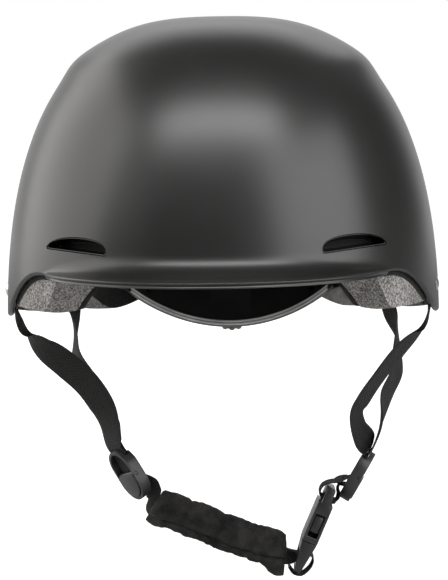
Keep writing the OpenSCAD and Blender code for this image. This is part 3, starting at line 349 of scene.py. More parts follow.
# Materials
class Nodes:
    """Short-hand for building a material's nodes."""

    def __init__(self, name):
        self.material = bpy.data.materials.new(name)
        self.material.use_nodes = True
        self.tree = self.material.node_tree
        self.bsdf = self.tree.nodes["Principled BSDF"]

    def add(self, kind, inputs=None, **settings):
        node = self.tree.nodes.new("ShaderNode" + kind)
        for k, v in settings.items():
            setattr(node, k, v)
        for k, v in (inputs or {}).items():
            self.put(v, node.inputs[k])
        return node

    def put(self, value, socket):
        if isinstance(value, bpy.types.NodeSocket):
            self.tree.links.new(value, socket)
        else:
            socket.default_value = value

    def math(self, operation, a, b=0.0):
        return self.add("Math", {0: a, 1: b}, operation=operation).outputs[0]

    def noise(self, coords, scale, detail=3.0, rough=0.5):
        return self.add("TexNoise", {"Vector": coords, "Scale": scale, "Detail": detail,
                                     "Roughness": rough}).outputs["Fac"]

    def ramp(self, value, stops):
        node = self.add("ValToRGB", {"Fac": value})
        ramp = node.color_ramp
        while len(ramp.elements) < len(stops):
            ramp.elements.new(0.5)
        for e, (at, color) in zip(ramp.elements, stops):
            e.position = at
            e.color = (*color, 1)
        return node.outputs["Color"]

    def spread(self, value, low, high):
        """A value from 0 to 1 spread between two others."""
        return self.add("MapRange", {"Value": value, "To Min": low, "To Max": high}).outputs["Result"]

    def blend(self, factor, a, b):
        node = self.add("Mix", {"Factor": factor}, data_type="RGBA")
        self.put(a, node.inputs[6])
        self.put(b, node.inputs[7])
        return node.outputs[2]

    def bump(self, height, strength, distance):
        node = self.add("Bump", {"Height": height, "Strength": strength, "Distance": distance * MM})
        self.put(node.outputs["Normal"], self.bsdf.inputs["Normal"])

    def surface(self, **values):
        for k, v in values.items():
            self.put(v, self.bsdf.inputs[k.replace("_", " ")])


def gray(v, warm=0.0):
    return (v * (1 + warm), v, v * (1 - warm))


def shell_material():
    m = Nodes("shell_black")
    at = m.add("TexCoord").outputs["Object"]
    cloud = m.noise(at, 14, 2)
    grain = m.noise(at, 1700, 2)
    m.surface(Base_Color=m.ramp(cloud, [(0.3, gray(0.007, 0.04)), (0.7, gray(0.0095, 0.04))]),
              Roughness=m.spread(m.noise(at, 60, 4), 0.32, 0.37))
    m.bump(grain, 0.10, 0.05)
    return m.material


def foam_material():
    """Expanded beads about a millimetre across, grey with dark seams and pale sparks."""
    m = Nodes("liner_foam")
    at = m.add("TexCoord").outputs["Object"]
    beads = m.math("ADD", m.math("MULTIPLY", m.noise(at, 950, 2, 0.6), 0.6),
                   m.math("MULTIPLY", m.noise(at, 2300, 2, 0.6), 0.4))
    shade = m.math("ADD", beads, m.math("MULTIPLY", m.math("SUBTRACT", m.noise(at, 45, 2), 0.5), 0.12))
    m.surface(Base_Color=m.ramp(shade, [(0.37, gray(0.018, 0.05)), (0.47, gray(0.12, 0.05)),
                                        (0.60, gray(0.35, 0.04))]), Roughness=0.85)
    m.bump(beads, 0.6, 0.9)
    return m.material


def vent_material():
    m = Nodes("vent_black")
    at = m.add("TexCoord").outputs["Object"]
    m.surface(Base_Color=m.ramp(m.noise(at, 40), [(0.3, gray(0.004)), (0.7, gray(0.007))]),
              Roughness=m.spread(m.noise(at, 90, 3), 0.08, 0.16))
    m.bump(m.noise(at, 120, 2), 0.08, 0.3)
    return m.material


def plastic_material(name, tone, rough, grain=900.0, strength=0.25, warm=0.0):
    m = Nodes(name)
    at = m.add("TexCoord").outputs["Object"]
    m.surface(Base_Color=m.ramp(m.noise(at, 70, 3), [(0.3, gray(tone * 0.8, warm)),
                                                     (0.7, gray(tone * 1.15, warm))]),
              Roughness=m.spread(m.noise(at, 300, 3), rough - 0.05, rough + 0.07))
    m.bump(m.noise(at, grain, 2), strength, 0.08)
    return m.material


def steel_material():
    m = Nodes("rivet_steel")
    at = m.add("TexCoord").outputs["Object"]
    m.surface(Base_Color=m.ramp(m.noise(at, 500, 3), [(0.3, gray(0.55)), (0.7, gray(0.68))]),
              Metallic=1.0, Roughness=m.spread(m.noise(at, 900, 3), 0.22, 0.36))
    m.bump(m.noise(at, 1500, 2), 0.15, 0.05)
    return m.material


def fabric_material(name, dark, light, crumple=0.0):
    """Knitted fabric with worn patches, and creases where it is drawn together."""
    m = Nodes(name)
    at = m.add("TexCoord").outputs["Object"]
    knit = m.add("TexVoronoi", {"Vector": at, "Scale": 1100.0}).outputs["Distance"]
    fuzz = m.noise(at, 2300, 2, 0.7)
    wear = m.math("MULTIPLY", m.noise(at, 120, 4, 0.65), 0.7)
    patch = m.math("ADD", wear, m.math("MULTIPLY", fuzz, 0.3))
    folds = m.math("MULTIPLY", m.noise(at, 210, 3, 0.6), crumple)
    m.surface(Base_Color=m.ramp(patch, [(0.38, gray(dark)), (0.62, gray(light, 0.05))]),
              Roughness=0.92, Specular_IOR_Level=0.25, Sheen_Weight=0.06, Sheen_Roughness=0.5)
    m.bump(m.math("ADD", m.math("ADD", m.math("MULTIPLY", knit, 1.4), fuzz), folds), 0.6, 0.35)
    return m.material


def webbing_material():
    """Herringbone weave; x runs across the strap and y along it, in mm. Its colour follows the weave's
    relief: painted shade in the grooves and painted highlight on the cords.
    """
    m = Nodes("webbing")
    at = m.add("Attribute", attribute_name="weave").outputs["Vector"]
    xyz = m.add("SeparateXYZ", {0: at})
    x, y = xyz.outputs["X"], xyz.outputs["Y"]
    zigzag = m.math("PINGPONG", m.math("ADD", x, 20), 2.5)
    cords = m.math("SINE", m.math("MULTIPLY", m.math("ADD", y, zigzag), 2 * math.pi / 1.25))
    ribs = m.math("SINE", m.math("MULTIPLY", x, 2 * math.pi / 0.62))
    weave = m.math("ADD", m.math("MULTIPLY", cords, 0.7), m.math("MULTIPLY", ribs, 0.3))
    fuzz = m.noise(m.add("TexCoord").outputs["Object"], 1800, 2, 0.7)
    height = m.math("ADD", weave, m.math("MULTIPLY", fuzz, 0.6))
    # The colour follows the weave's height: darker grooves are painted shade, lighter cords painted
    # highlight
    tone = m.add("MapRange", {"Value": weave, "From Min": -1.0, "From Max": 1.0}).outputs["Result"]
    m.surface(Base_Color=m.ramp(tone, [(0.2, gray(0.002)), (0.9, gray(0.028, 0.03))]),
              Roughness=0.8, Specular_IOR_Level=0.3, Sheen_Weight=0.03, Sheen_Roughness=0.4)
    m.bump(height, 0.8, 0.3)
    return m.material


SHELL = shell_material()
FOAM = foam_material()
GLOSS = vent_material()
MOULDED = plastic_material("moulded_black", 0.010, 0.40)
TRAY = plastic_material("divider_tray", 0.020, 0.44, 1100.0, 0.5)
CAM = plastic_material("divider_cam", 0.016, 0.36, 1100.0, 0.4)
LIGHT_MOULDED = plastic_material("moulded_grey", 0.045, 0.46, 1100.0, 0.5)
# Pale grey for the cradle's beads: painted highlights on the black cradle's lower edge
PAINTED_HIGHLIGHT_BEAD = plastic_material("cradle_lip", 0.55, 0.42, warm=0.02)
# A pale smooth grey for the right facing only: painted light on the lit side of the lining
PAINTED_LIGHT_FACING = plastic_material("facing_painted_light", 0.22, 0.6, warm=0.06)
DARK_CUP = plastic_material("vent_floor", 0.003, 0.85)
SATIN = plastic_material("buckle_satin", 0.014, 0.33)
STEEL = steel_material()
FABRIC = fabric_material("pad_fabric", 0.004, 0.017)
SLEEVE = fabric_material("sleeve_fabric", 0.0008, 0.024, 7.0)
PATCH = fabric_material("pad_patch", 0.04, 0.22)
# A pale grey felt for the right lining only: painted light on the lit side, whose left twin is black
PAINTED_LIGHT_LINING = fabric_material("lining_painted_light", 0.18, 0.46)
WEBBING = webbing_material()


# Hard shell
def shell_surface(columns=256, brim_rows=34, dome_rows=72, lip_rows=17):
    """Rings from the inner pole down to the lip and up the outside."""
    t = np.arange(columns) * 360 / columns
    half = SHELL_WALL / 2
    step = 0.02
    start = brim_skin(t, np.zeros(columns))
    slope = (brim_skin(t, np.full(columns, step)) - start) / step
    v0 = np.minimum(half / np.linalg.norm(slope, axis=-1), 0.3)
    outer = [brim_skin(t, v0 + (1 - v0) * k / brim_rows) for k in range(brim_rows)]
    low = rise_at(rim_z(t) + fillet(t))
    outer += [dome(t, mix(low, 90, k / dome_rows)) for k in range(dome_rows)]
    outer = np.array(outer)
    across = np.roll(outer, -1, 1) - np.roll(outer, 1, 1)
    up = np.empty_like(outer)
    up[1:-1] = outer[2:] - outer[:-2]
    up[0], up[-1] = outer[1] - outer[0], outer[-1] - outer[-2]
    normal = unit(np.cross(across, up))
    inner = outer - normal * SHELL_WALL
    mid, n, down = outer[0] - normal[0] * half, normal[0], -unit(up[0])
    share = np.minimum(1, brim_share(t) * 3)[:, None]
    lip = []
    for a in np.linspace(0, math.pi, lip_rows + 2)[1:-1]:
        # Two rounded edges with a groove between them along the brim
        reach = 1 - 0.75 * share * math.exp(-((a - 1.75) / 0.55) ** 2)
        lip.append(mid + (n * math.cos(a) + down * math.sin(a) * reach) * half)
    return outer, inner, np.array(lip)


def solid_of_rings(name, rings, first_pole, last_pole):
    """A closed solid through closed rings, ended by a pole at each end."""
    k = len(rings[0])
    count = len(rings) * k
    points = np.concatenate([np.reshape(rings, (-1, 3)), [first_pole, last_pole]])
    faces = grid_faces(len(rings), k)
    last = count - k
    for i in range(k):
        j = (i + 1) % k
        faces.append((j, i, count))
        faces.append((last + i, last + j, count + 1))
    return mesh_from(name, points, faces)


def vent_outline(gap, count=40):
    w, h, tip = VENT_LENGTH + 2 * gap, VENT_HEIGHT + 2 * gap, VENT_TIP + gap
    u = smooth(np.linspace(0, 1, count))
    top = -h / 2 + np.maximum(tip, h * u ** VENT_RISE * (1 - u) ** VENT_FALL / VENT_CREST)
    upper = np.stack([w * (u - 0.5), top], -1)
    c = VENT_CORNER
    sill = [(w / 2, -h / 2 + c), (w / 2 - c * 0.3, -h / 2 + c * 0.3), (w / 2 - c, -h / 2),
            (-w / 2 + c, -h / 2)]
    return np.concatenate([upper[:-1], sill])


VENT_FRAME = frame_at(dome(-VENT_BEARING, rise_at(VENT_Z)),
                      dome_normal(np.float64(-VENT_BEARING), rise_at(VENT_Z)), (0, 0, 1))
FLIP = np.diag([-1.0, 1.0, 1.0, 1.0])


def turned_outline(gap, count=40):
    a = math.radians(-VENT_TILT)
    o = vent_outline(gap, count)
    return o @ np.array([[math.cos(a), math.sin(a)], [-math.sin(a), math.cos(a)]])


def prism(name, outline, low, high, place):
    """A straight body through a flat outline, between two heights over it."""
    rings = [in_frame(place, np.column_stack([outline, np.full(len(outline), z)]))
             for z in (low, high)]
    return outward(new_object(name, loft(name, rings, smooth_faces=False)))


def make_shell():
    """The dressed shell. Its uncut skin is returned, for the vents' lips to follow."""
    outer, inner, lip = shell_surface()
    rings = list(inner[::-1]) + list(lip[::-1]) + list(outer)
    mesh = solid_of_rings("outer_shell", rings, (0, 0, SHELL_HEIGHT - SHELL_WALL), (0, 0, SHELL_HEIGHT))
    obj = outward(new_object("hard_shell", mesh, SHELL))
    skin = BVHTree.FromPolygons([v.co.copy() for v in obj.data.vertices],
                                [tuple(p.vertices) for p in obj.data.polygons])
    for place in (VENT_FRAME, FLIP @ VENT_FRAME):
        cut_away(obj, prism("vent_cutter", turned_outline(0), -12, 8, place))
    sharpen(obj, 40)
    obj.data.materials.clear()
    obj.data.materials.append(SHELL)
    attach(obj, ROOT)
    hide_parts("outer_shell")
    return skin


# Foam liner
def liner_rise(t, j):
    return mix(rise_at(liner_z(t)), 90, (j / LINER_ROWS) ** 1.2)


def liner_face(t, j, lift=0.0):
    p = liner_rise(t, j)
    return inside(t, p, inner_depth(t, p) + lift)


def make_liner(columns=240, rows=60):
    t = np.arange(columns) * 360 / columns
    js = np.linspace(0, LINER_ROWS - 1 / 6, rows)
    outer = [inside(t, liner_rise(t, j), np.full(columns, LINER_OUTER)) for j in js]
    inner = [liner_face(t, j) for j in js]
    # The rim is rounded a little between the two faces
    rim = [mix(outer[0], inner[0], u) - np.array([0, 0, 0.8 * math.sin(math.pi * u)])
           for u in (0.04, 0.15, 0.35, 0.5, 0.65, 0.85, 0.96)]
    rings = inner[::-1] + rim[::-1] + outer
    mesh = solid_of_rings("eps_liner", rings, (0, 0, SHELL_HEIGHT - LINER_INNER),
                          (0, 0, SHELL_HEIGHT - LINER_OUTER))
    obj = outward(new_object("foam_liner", mesh, FOAM))
    for place in (VENT_FRAME, FLIP @ VENT_FRAME):
        low = -SHELL_WALL - VENT_DEPTH - 0.4
        cut_away(obj, prism("vent_cutter", turned_outline(0.6), low, 6, place))
    for base in rivet_frames():
        r = RECESS_HALF
        box = [(-r, -RECESS_DROP), (r, -RECESS_DROP), (r, r), (-r, r)]
        ring = [in_frame(base, [(x, y, z) for x, y in box]) for z in (-RECESS_DEPTH, 2)]
        cut_away(obj, outward(new_object("recess", loft("recess", ring, smooth_faces=False))))
    sharpen(obj, 45)
    obj.data.materials.clear()
    obj.data.materials.append(FOAM)
    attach(obj, ROOT)
    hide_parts("eps_liner")


def rivet_frames():
    out = []
    for side in (-1, 1):
        for b, z in (FRONT_RIVET, REAR_RIVET):
            p = rise_at(z)
            out.append(frame_at(dome(side * b, p), dome_normal(np.float64(side * b), p), (0, 0, 1)))
    return out


shell_skin = make_shell()
make_liner()


# Vent inserts
def make_vent(name, node, place):
    """A glossy cup: a rolled lip that follows the shell, walls and a floor."""
    out = in_frame(place, [0, 0, 1]) - in_frame(place, [0, 0, 0])

    def on_skin(xy, sink):
        start = Vector(in_frame(place, (xy[0], xy[1], 25)) * MM)
        hit = shell_skin.ray_cast(start, Vector(-out))[0]
        return np.array(hit) / MM - out * sink

    def ring(gap, sink):
        return [on_skin(xy, sink) for xy in turned_outline(gap, 56)]

    def flat_ring(gap, z):
        o = turned_outline(gap, 56)
        return in_frame(place, np.column_stack([o, np.full(len(o), z)]))

    floor = -SHELL_WALL - VENT_DEPTH + 1
    rings = [ring(-0.25, 2.6), ring(-0.22, 0.75), ring(-0.3, 0.45), ring(-0.5, 0.35),
             ring(-0.75, 0.5), ring(-0.9, 1.0), ring(-1.1, 3.0), flat_ring(-1.6, floor + 1.5),
             flat_ring(-2.2, floor)]
    obj = new_object(name, loft(name, rings, capped=False), GLOSS)
    bm = bmesh.new()
    bm.from_mesh(obj.data)
    last = (len(rings) - 1) * len(rings[0])
    bm.verts.ensure_lookup_table()
    bm.faces.new([bm.verts[last + i] for i in range(len(rings[0]))]).material_index = 1
    bmesh.ops.recalc_face_normals(bm, faces=bm.faces)
    bm.to_mesh(obj.data)
    bm.free()
    obj.data.materials.append(DARK_CUP)
    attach(obj, ROOT)
    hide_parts(node)


make_vent("left_vent", "left_vent_insert", VENT_FRAME)
make_vent("right_vent", "right_vent_insert", FLIP @ VENT_FRAME)


# Comfort pads
# A side cushion's cloth changes behind this y
SIDE_PATCH_Y = -20
# A pad's glue line above the foam, and the bearings between which a black strip shows
PAD_LIFT, STRIP_SPAN = 0.6, (44, 84)


def pad_swell(u, v):
    return PAD_THICKNESS * (0.35 + 0.65 * np.maximum(0, np.sin(np.pi * u) * np.sin(np.pi * v)) ** 0.4)


def panel(name, i0, i1, j0, j1, low, high, material, edge_radius, columns=56, rows=30):
    """A closed sheet along the liner's inner face, between two heights above it."""
    u = np.linspace(0, 1, columns)
    v = np.linspace(0, 1, rows)
    t = mix(i0, i1, u) * 360 / LINER_COLUMNS
    far = np.array([liner_face(t, mix(j0, j1, w), np.full(columns, low)) for w in v])
    near = np.array([liner_face(t, mix(j0, j1, w), high(u, w)) for w in v])
    return sheet(name, far, near, material, edge_radius)


def sheet(name, far, near, material, edge_radius):
    """A closed solid between two grids of points, with rounded edges."""
    rows, columns = far.shape[:2]
    k = rows * columns
    points = np.concatenate([far.reshape(-1, 3), near.reshape(-1, 3)])
    faces = grid_faces(rows, columns, 0, False)
    faces += [f[::-1] for f in grid_faces(rows, columns, k, False)]
    edge = list(range(columns)) + [j * columns + columns - 1 for j in range(1, rows)] \
        + [(rows - 1) * columns + i for i in range(columns - 2, -1, -1)] \
        + [j * columns for j in range(rows - 2, 0, -1)]
    faces += [(a, b, k + b, k + a) for a, b in zip(edge, edge[1:] + edge[:1])]
    obj = outward(new_object(name, mesh_from(name, points, faces), material))
    round_edges(obj, edge_radius, 3, 50)
    sharpen(obj, 60)
    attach(obj, ROOT)
    return obj


def make_pad(name, node, i0, i1, j0, j1, back_y=None):
    """A padded panel on the liner, full in the middle, with a rounded edge."""
    obj = panel(name, i0, i1, j0, j1, PAD_LIFT, lambda u, w: PAD_LIFT + pad_swell(u, w), FABRIC, 1.0)
    if back_y is not None:
        obj.data.materials.append(PATCH)
        for face in obj.data.polygons:
            face.material_index = int(face.center.y > back_y * MM)
    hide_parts(node)


def make_lining(name, i0, i1, j1, material):
    """A thin facing glued to the foam behind a side pad. Its material is given per side: dark on the
    left as painted shade, pale on the right as painted light.
    """
    obj = panel(name, i0, i1, 0.03, j1, 0.02, lambda u, w: np.full(len(u), 0.45), material, 0.15)


def make_edge_strip(name, side, below=3.5, above=5, columns=60, rows=8):
    """A black strip on the foam's outer face, which shows under the shell's edge at the temple."""
    t = side * np.linspace(*STRIP_SPAN, columns)
    rises = [rise_at(np.maximum(liner_z(t) + 0.3, rim_z(t) + dz))
             for dz in np.linspace(-below, above, rows)]
    far, near = (np.array([inside(t, p, np.full(columns, LINER_OUTER + lift)) for p in rises])
                 for lift in (0.2, -0.3))
    sheet(name, far, near, FABRIC, 0.1)


make_pad("brow_cushion", "brow_pad", -5, 5, 0.5, 2.6)
make_pad("left_side_cushion", "left_side_pad", -12, -6, 0.06, 2.4, SIDE_PATCH_Y)
make_pad("right_side_cushion", "right_side_pad", 6, 12, 0.06, 2.4, SIDE_PATCH_Y)
make_pad("rear_cushion", "rear_pad", 20, 28, 2.9, 4.5)
make_edge_strip("left_edge_strip", -1)
make_edge_strip("right_edge_strip", 1)
# The left facing is black and the right one pale grey, on the same lining: painted shade on the left,
# painted light on the right
make_lining("left_lining_painted_shade", -23, -13.1, 5, FABRIC)
make_lining("right_lining_painted_light", 14.4, 23, 5, PAINTED_LIGHT_LINING)
make_lining("right_facing_painted_light", 13.1, 14.3, 5, PAINTED_LIGHT_FACING)


# The crown's cushion fills the liner's face from this row up
CROWN_ROW = 10


def make_crown_pad(columns=72, rows=14):
    t = np.arange(columns) * 360 / columns
    js = np.linspace(CROWN_ROW, LINER_ROWS - 0.1, rows)
    swell = [PAD_THICKNESS * (0.35 + 0.55 * smooth((j - CROWN_ROW) / 0.7)) for j in js]
    far = [liner_face(t, j, np.full(columns, PAD_LIFT)) for j in js]
    near = [liner_face(t, j, np.full(columns, PAD_LIFT + s)) for j, s in zip(js, swell)]
    top = SHELL_HEIGHT - LINER_INNER - PAD_LIFT
    mesh = solid_of_rings("crown", near[::-1] + far, (0, 0, top - PAD_THICKNESS * 0.9), (0, 0, top))
    obj = outward(new_object("crown_cushion", mesh, FABRIC))
    sharpen(obj, 70)
    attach(obj, ROOT)
    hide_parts("crown_pad")


make_crown_pad()


# Webbing
def ribbon(name, route, side, width=WEBBING_WIDTH, thickness=WEBBING_THICKNESS):
    """Flat webbing along a route, with rounded edges and its own weave coordinates in millimetres."""
    route, side = np.asarray(route, float), np.asarray(side, float)
    travel = along(route)
    w = unit(side - travel * np.sum(side * travel, -1, keepdims=True))
    h = np.cross(travel, w)
    across = 9
    xs = np.linspace(-1, 1, across)
    section = [(x, 1 - 0.75 * abs(x) ** 12) for x in xs] \
        + [(x, -1 + 0.75 * abs(x) ** 12) for x in xs[::-1]]
    length = np.concatenate([[0], np.cumsum(np.linalg.norm(np.diff(route, axis=0), axis=1))])
    rings = [[c + w_ * x * width / 2 + h_ * y * thickness / 2 for x, y in section]
             for c, w_, h_ in zip(route, w, h)]
    obj = new_object(name, loft(name, rings), WEBBING)
    weave = [(x * width / 2, s, y) for s in length for x, y in section]
    keep_attribute(obj, "weave", weave)
    outward(obj)
    sharpen(obj, 50)
    return obj


def faced(keys, steps):
    """Route and width direction from keys of [point, facing]."""
    route = spline([k[0] for k in keys], steps)
    facing = spline([k[1] for k in keys], steps)
    travel = along(route)
    n = unit(facing - travel * np.sum(facing * travel, -1, keepdims=True))
    return route, np.cross(n, travel)


# The dividers' and the buckle's places, as in the CAD
LEFT_DIVIDER = frame_at((-46.7, -9, -82.6), (-0.72, -0.54, -0.44), (-0.44, 0, 0.90))
RIGHT_DIVIDER = frame_at((63.9, -5, -85.3), (0.86, -0.12, -0.50), (0.50, 0, 0.86))
BUCKLE = frame_at((41.6, -11, -118.4), (0.40, 0.04, 0.915), (0.915, 0, -0.40))
# The heights of the two straps in a divider's tray, and how far they part at its mouth
LOWER_LAYER = 0.8 + 0.1 + WEBBING_THICKNESS / 2
UPPER_LAYER = LOWER_LAYER + WEBBING_THICKNESS + 0.1
OVER_LIFT, UNDER_LIFT = 0.5, -0.4
# A strap's depth under the shell's skin, and how far it reaches above its rivet
STRAP_DEPTH = SHELL_WALL + 0.9 + WEBBING_THICKNESS / 2
TAB_UP = 6.5


def mirrored(keys):
    return [[(-p[0], p[1], p[2]), (-f[0], f[1], f[2])] for p, f in keys]


def tab_keys(b, z, down):
    m = frame_at(dome(-b, rise_at(z)), dome_normal(np.float64(-b), rise_at(z)), (0, 0, 1))
    return [[in_frame(m, (0, y, -STRAP_DEPTH)), m[:3, 2]] for y in (TAB_UP, 0, -down)]


def tray_keys(m, layer, lift):
    half = DIVIDER_LENGTH / 2
    return [[in_frame(m, (0, y, layer + (lift if y > half else 0))), m[:3, 2]]
            for y in (half + 2, half - 2, 0.8)]


# Each key of a route is a point and the way the webbing faces there
LEFT_FRONT = [
    [(-98, -22.5, -9), (-0.95, -0.3, -0.2)], [(-91, -21, -17.5), (-0.7, -0.7, -0.1)],
    [(-81, -20, -25.5), (-0.45, -0.9, 0)], [(-69.5, -18, -36.5), (-0.4, -0.9, 0)],
    [(-62, -15, -48.5), (-0.45, -0.9, 0)], [(-58.4, -12.4, -59.5), (-0.65, -0.7, -0.3)]]
LEFT_REAR = [
    [(-84.4, 76, -18), (-0.9, 0.35, 0.1)], [(-82.6, 58, -26), (-0.95, 0.1, 0.3)],
    [(-79.8, 42, -33.5), (-1, 0, 0.3)], [(-72.2, 28, -43.5), (-0.9, -0.1, 0.4)],
    [(-64.5, 14, -52.5), (-0.85, -0.35, 0.1)], [(-58.5, 4, -57.5), (-0.75, -0.5, -0.2)],
    [(-54, -4.6, -63.2), (-0.72, -0.54, -0.44)]]
RIGHT_FRONT = [
    [(98.5, -23, -10), (0.9, -0.3, -0.3)], [(88.2, -21, -21.3), (0.75, -0.5, -0.4)],
    [(77.9, -18.5, -34.7), (0.75, -0.5, -0.4)], [(70.6, -16, -45.5), (0.8, -0.55, -0.3)],
    [(66.5, -13.5, -54.5), (0.85, -0.5, 0)], [(68, -9.2, -64), (0.88, -0.22, -0.4)]]
RIGHT_REAR = [
    [(89.6, 74, -18), (0.9, 0.35, 0.1)], [(90.1, 57, -25.5), (0.95, 0.1, 0.3)],
    [(89, 42, -35.5), (0.9, -0.2, 0.3)], [(85.6, 30, -44.5), (0.85, -0.4, -0.1)],
    [(80.6, 16, -53.5), (0.9, -0.3, 0)], [(78.3, 1.3, -64.6), (0.9, -0.15, -0.4)]]
FRONT_TAB = tab_keys(*FRONT_RIVET, FRONT_RIVET[1] - RIM_FLAP)
REAR_TAB = tab_keys(*REAR_RIVET, REAR_RIVET[1] - RIM_NAPE)


def make_strap(node, tab, route, divider, layer, lift):
    obj = ribbon(node + "_webbing", *faced(tab + route + tray_keys(divider, layer, lift), 10))
    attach(obj, ROOT)
    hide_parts(node)


make_strap("left_front_strap", FRONT_TAB, LEFT_FRONT, LEFT_DIVIDER, UPPER_LAYER, OVER_LIFT)
make_strap("left_rear_strap", REAR_TAB, LEFT_REAR, LEFT_DIVIDER, LOWER_LAYER, UNDER_LIFT)
make_strap("right_front_strap", mirrored(FRONT_TAB), RIGHT_FRONT, RIGHT_DIVIDER, LOWER_LAYER,
           UNDER_LIFT)
make_strap("right_rear_strap", mirrored(REAR_TAB), RIGHT_REAR, RIGHT_DIVIDER, UPPER_LAYER, OVER_LIFT)

BUCKLE_SIDE = -BUCKLE[:3, 0]
BAR_Z = SOCKET_LENGTH + STRAP_SLOT
PLUG_BAR_Z = -SHOULDER_LENGTH - STRAP_SLOT - PLUG_BAR


def on_buckle(keys):
    return [[in_frame(BUCKLE, (0, y, z)), BUCKLE_SIDE] for y, z in keys]


def make_buckle_strap():
    out = RIGHT_DIVIDER[:3, 0]
    slot_z = SOCKET_LENGTH + STRAP_SLOT / 2
    upper, lower = EXIT_Y + STRAND_GAP / 2, EXIT_Y - STRAND_GAP / 2
    route = [(0, upper, 2), (0, upper, 0.2), (0, upper - 0.8, -2.2),
             (0, lower - 1.8, -2.6), (0, lower, -0.2), (0, lower, 2)]
    strands = [[in_frame(RIGHT_DIVIDER, p), out] for p in route]
    loop = on_buckle([(1, 32.8), (-1.8, 31.2), (-4.4, 28.4), (-4.7, 25), (-3, slot_z + 0.2),
                      (0, slot_z - 0.2), (2.8, slot_z + 0.2), (4.6, BAR_Z - 0.4)])
    keys = strands[:3] + loop + strands[3:]
    obj = ribbon("buckle_webbing", spline([k[0] for k in keys], 10), spline([k[1] for k in keys], 10))
    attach(obj, ROOT)
    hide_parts("buckle_strap")


make_buckle_strap()

# The chin strap and its padded sleeve share one curve
CHIN_OUT = LEFT_DIVIDER[:3, 0]
SLEEVE_KEYS = [
    [(-35.9, -11.5, -99.6), (0.38, -0.25, 0.88)], [(-26.1, -14, -103), (0.36, 0.12, 0.90)],
    [(-13.3, -17, -107.3), (0.36, 0.14, 0.89)], [(-0.7, -18, -112.6), (0.36, 0.14, 0.89)],
    [(11.8, -18, -117.1), (0.36, 0.14, 0.89)], [(22.2, -16.8, -120.6), (0.33, 0.25, 0.85)],
    [(28.6, -15, -123.2), (0.22, 0.62, 0.70)]]
PLUG_SLOT_Z = -SHOULDER_LENGTH - STRAP_SLOT / 2
CHIN_LEAD = [
    [in_frame(LEFT_DIVIDER, (0, EXIT_Y + 1, 2)), CHIN_OUT],
    [in_frame(LEFT_DIVIDER, (0, EXIT_Y + 1, -0.8)), CHIN_OUT],
    [(-38.9, -8, -90), unit(CHIN_OUT + np.array([0, 0.1, 0.2]))],
    [(-36.9, -9.4, -94.6), (0.45, -0.6, 0.65)]]
CHIN_LOOP = on_buckle([(-5.6, PLUG_SLOT_Z - 1.6), (0, PLUG_SLOT_Z - 0.2), (4, PLUG_SLOT_Z + 0.8),
                       (6, PLUG_SLOT_Z - 1.8), (5.6, PLUG_SLOT_Z - 6), (3.2, PLUG_BAR_Z - 1.6),
                       (-0.8, PLUG_BAR_Z - 2.4), (-4.2, PLUG_BAR_Z - 0.4)])
CHIN_KEYS = CHIN_LEAD + SLEEVE_KEYS + CHIN_LOOP
CHIN_STEPS = 12


def bent(obj):
    """Bakes the object's placement into its mesh; the webbing's route itself follows the buckle's plug
    at one end and the left divider at the other.
    """
    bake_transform(obj)


def make_chin_strap():
    obj = ribbon("chin_webbing", spline([k[0] for k in CHIN_KEYS], CHIN_STEPS),
                 spline([k[1] for k in CHIN_KEYS], CHIN_STEPS))
    bent(obj)
    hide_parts("chin_strap")


def sleeve_ring(s, full, angles):
    """Across and out from the strap in millimetres, at a share s of the sleeve's length.

    Lobes swell with the value full. Tucks cross them, most where they are drawn in, a fold runs along
    the front, and a flap hangs under it all, longest at the sleeve's ends.
    """
    width = (PAD_WIDTH * (0.86 + 0.14 * full ** 0.5) + 1) / 2
    thick = CHIN_PAD_THICKNESS * (0.68 + 0.32 * full ** 0.45) / 2
    pinch = 0.35 + 0.65 * (1 - full)
    crumple = 0.30 * np.sin(7 * angles + 46 * s + 2 * math.sin(15 * s)) \
        + 0.22 * np.sin(11 * angles - 75 * s) + 0.20 * math.sin(120 * s) * np.cos(3 * angles)
    fold = 2.6 * np.exp(-((angles - 2.45) / 0.22) ** 2)
    swell = 1 + (crumple * pinch - fold) / 8
    flap = np.maximum(0, np.cos(angles - math.pi)) ** 14 * (
        1.0 + 0.5 * math.sin(8 * math.pi * s + 1) + 4.6 * float(smooth((s - 0.84) / 0.15))
        + 1.2 * (1 - float(smooth(s / 0.1))))
    return (signed_pow(np.cos(angles), 0.75) * width * swell - flap,
            signed_pow(np.sin(angles), 0.75) * thick * swell)


def make_chin_pad(sides=72):
    route = spline([k[0] for k in CHIN_KEYS], CHIN_STEPS)
    side = spline([k[1] for k in CHIN_KEYS], CHIN_STEPS)
    first = len(CHIN_LEAD) * CHIN_STEPS
    n = (len(SLEEVE_KEYS) - 1) * CHIN_STEPS
    outer, inner = [], []
    angles = np.arange(sides) * 2 * math.pi / sides
    core = ((WEBBING_WIDTH + 0.8) / 2 * signed_pow(np.cos(angles), 0.4),
            (WEBBING_THICKNESS + 0.8) / 2 * signed_pow(np.sin(angles), 0.4))
    steps = np.linalg.norm(np.diff(route[first:first + n + 1], axis=0), axis=1)
    part = np.concatenate([[0], np.cumsum(steps)]) / steps.sum()
    for i in range(n + 1):
        k = first + i
        travel = unit(route[k + 1] - route[k - 1])
        w = unit(side[k] - travel * np.dot(side[k], travel))
        h = np.cross(travel, w)
        full = abs(math.sin(math.pi * CHIN_PAD_LOBES * part[i]))
        for rings, (across, out) in ((outer, sleeve_ring(part[i], full, angles)), (inner, core)):
            rings.append(route[k] + across[:, None] * w + out[:, None] * h)
    rings = outer + inner[::-1] + outer[:1]
    obj = new_object("chin_sleeve", loft("chin_sleeve", rings, capped=False), SLEEVE)
    bm = bmesh.new()
    bm.from_mesh(obj.data)
    bmesh.ops.remove_doubles(bm, verts=bm.verts, dist=1e-7)
    bm.to_mesh(obj.data)
    bm.free()
    outward(obj)
    sharpen(obj, 60)
    bent(obj)
    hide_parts("chin_pad")


make_chin_strap()
make_chin_pad()

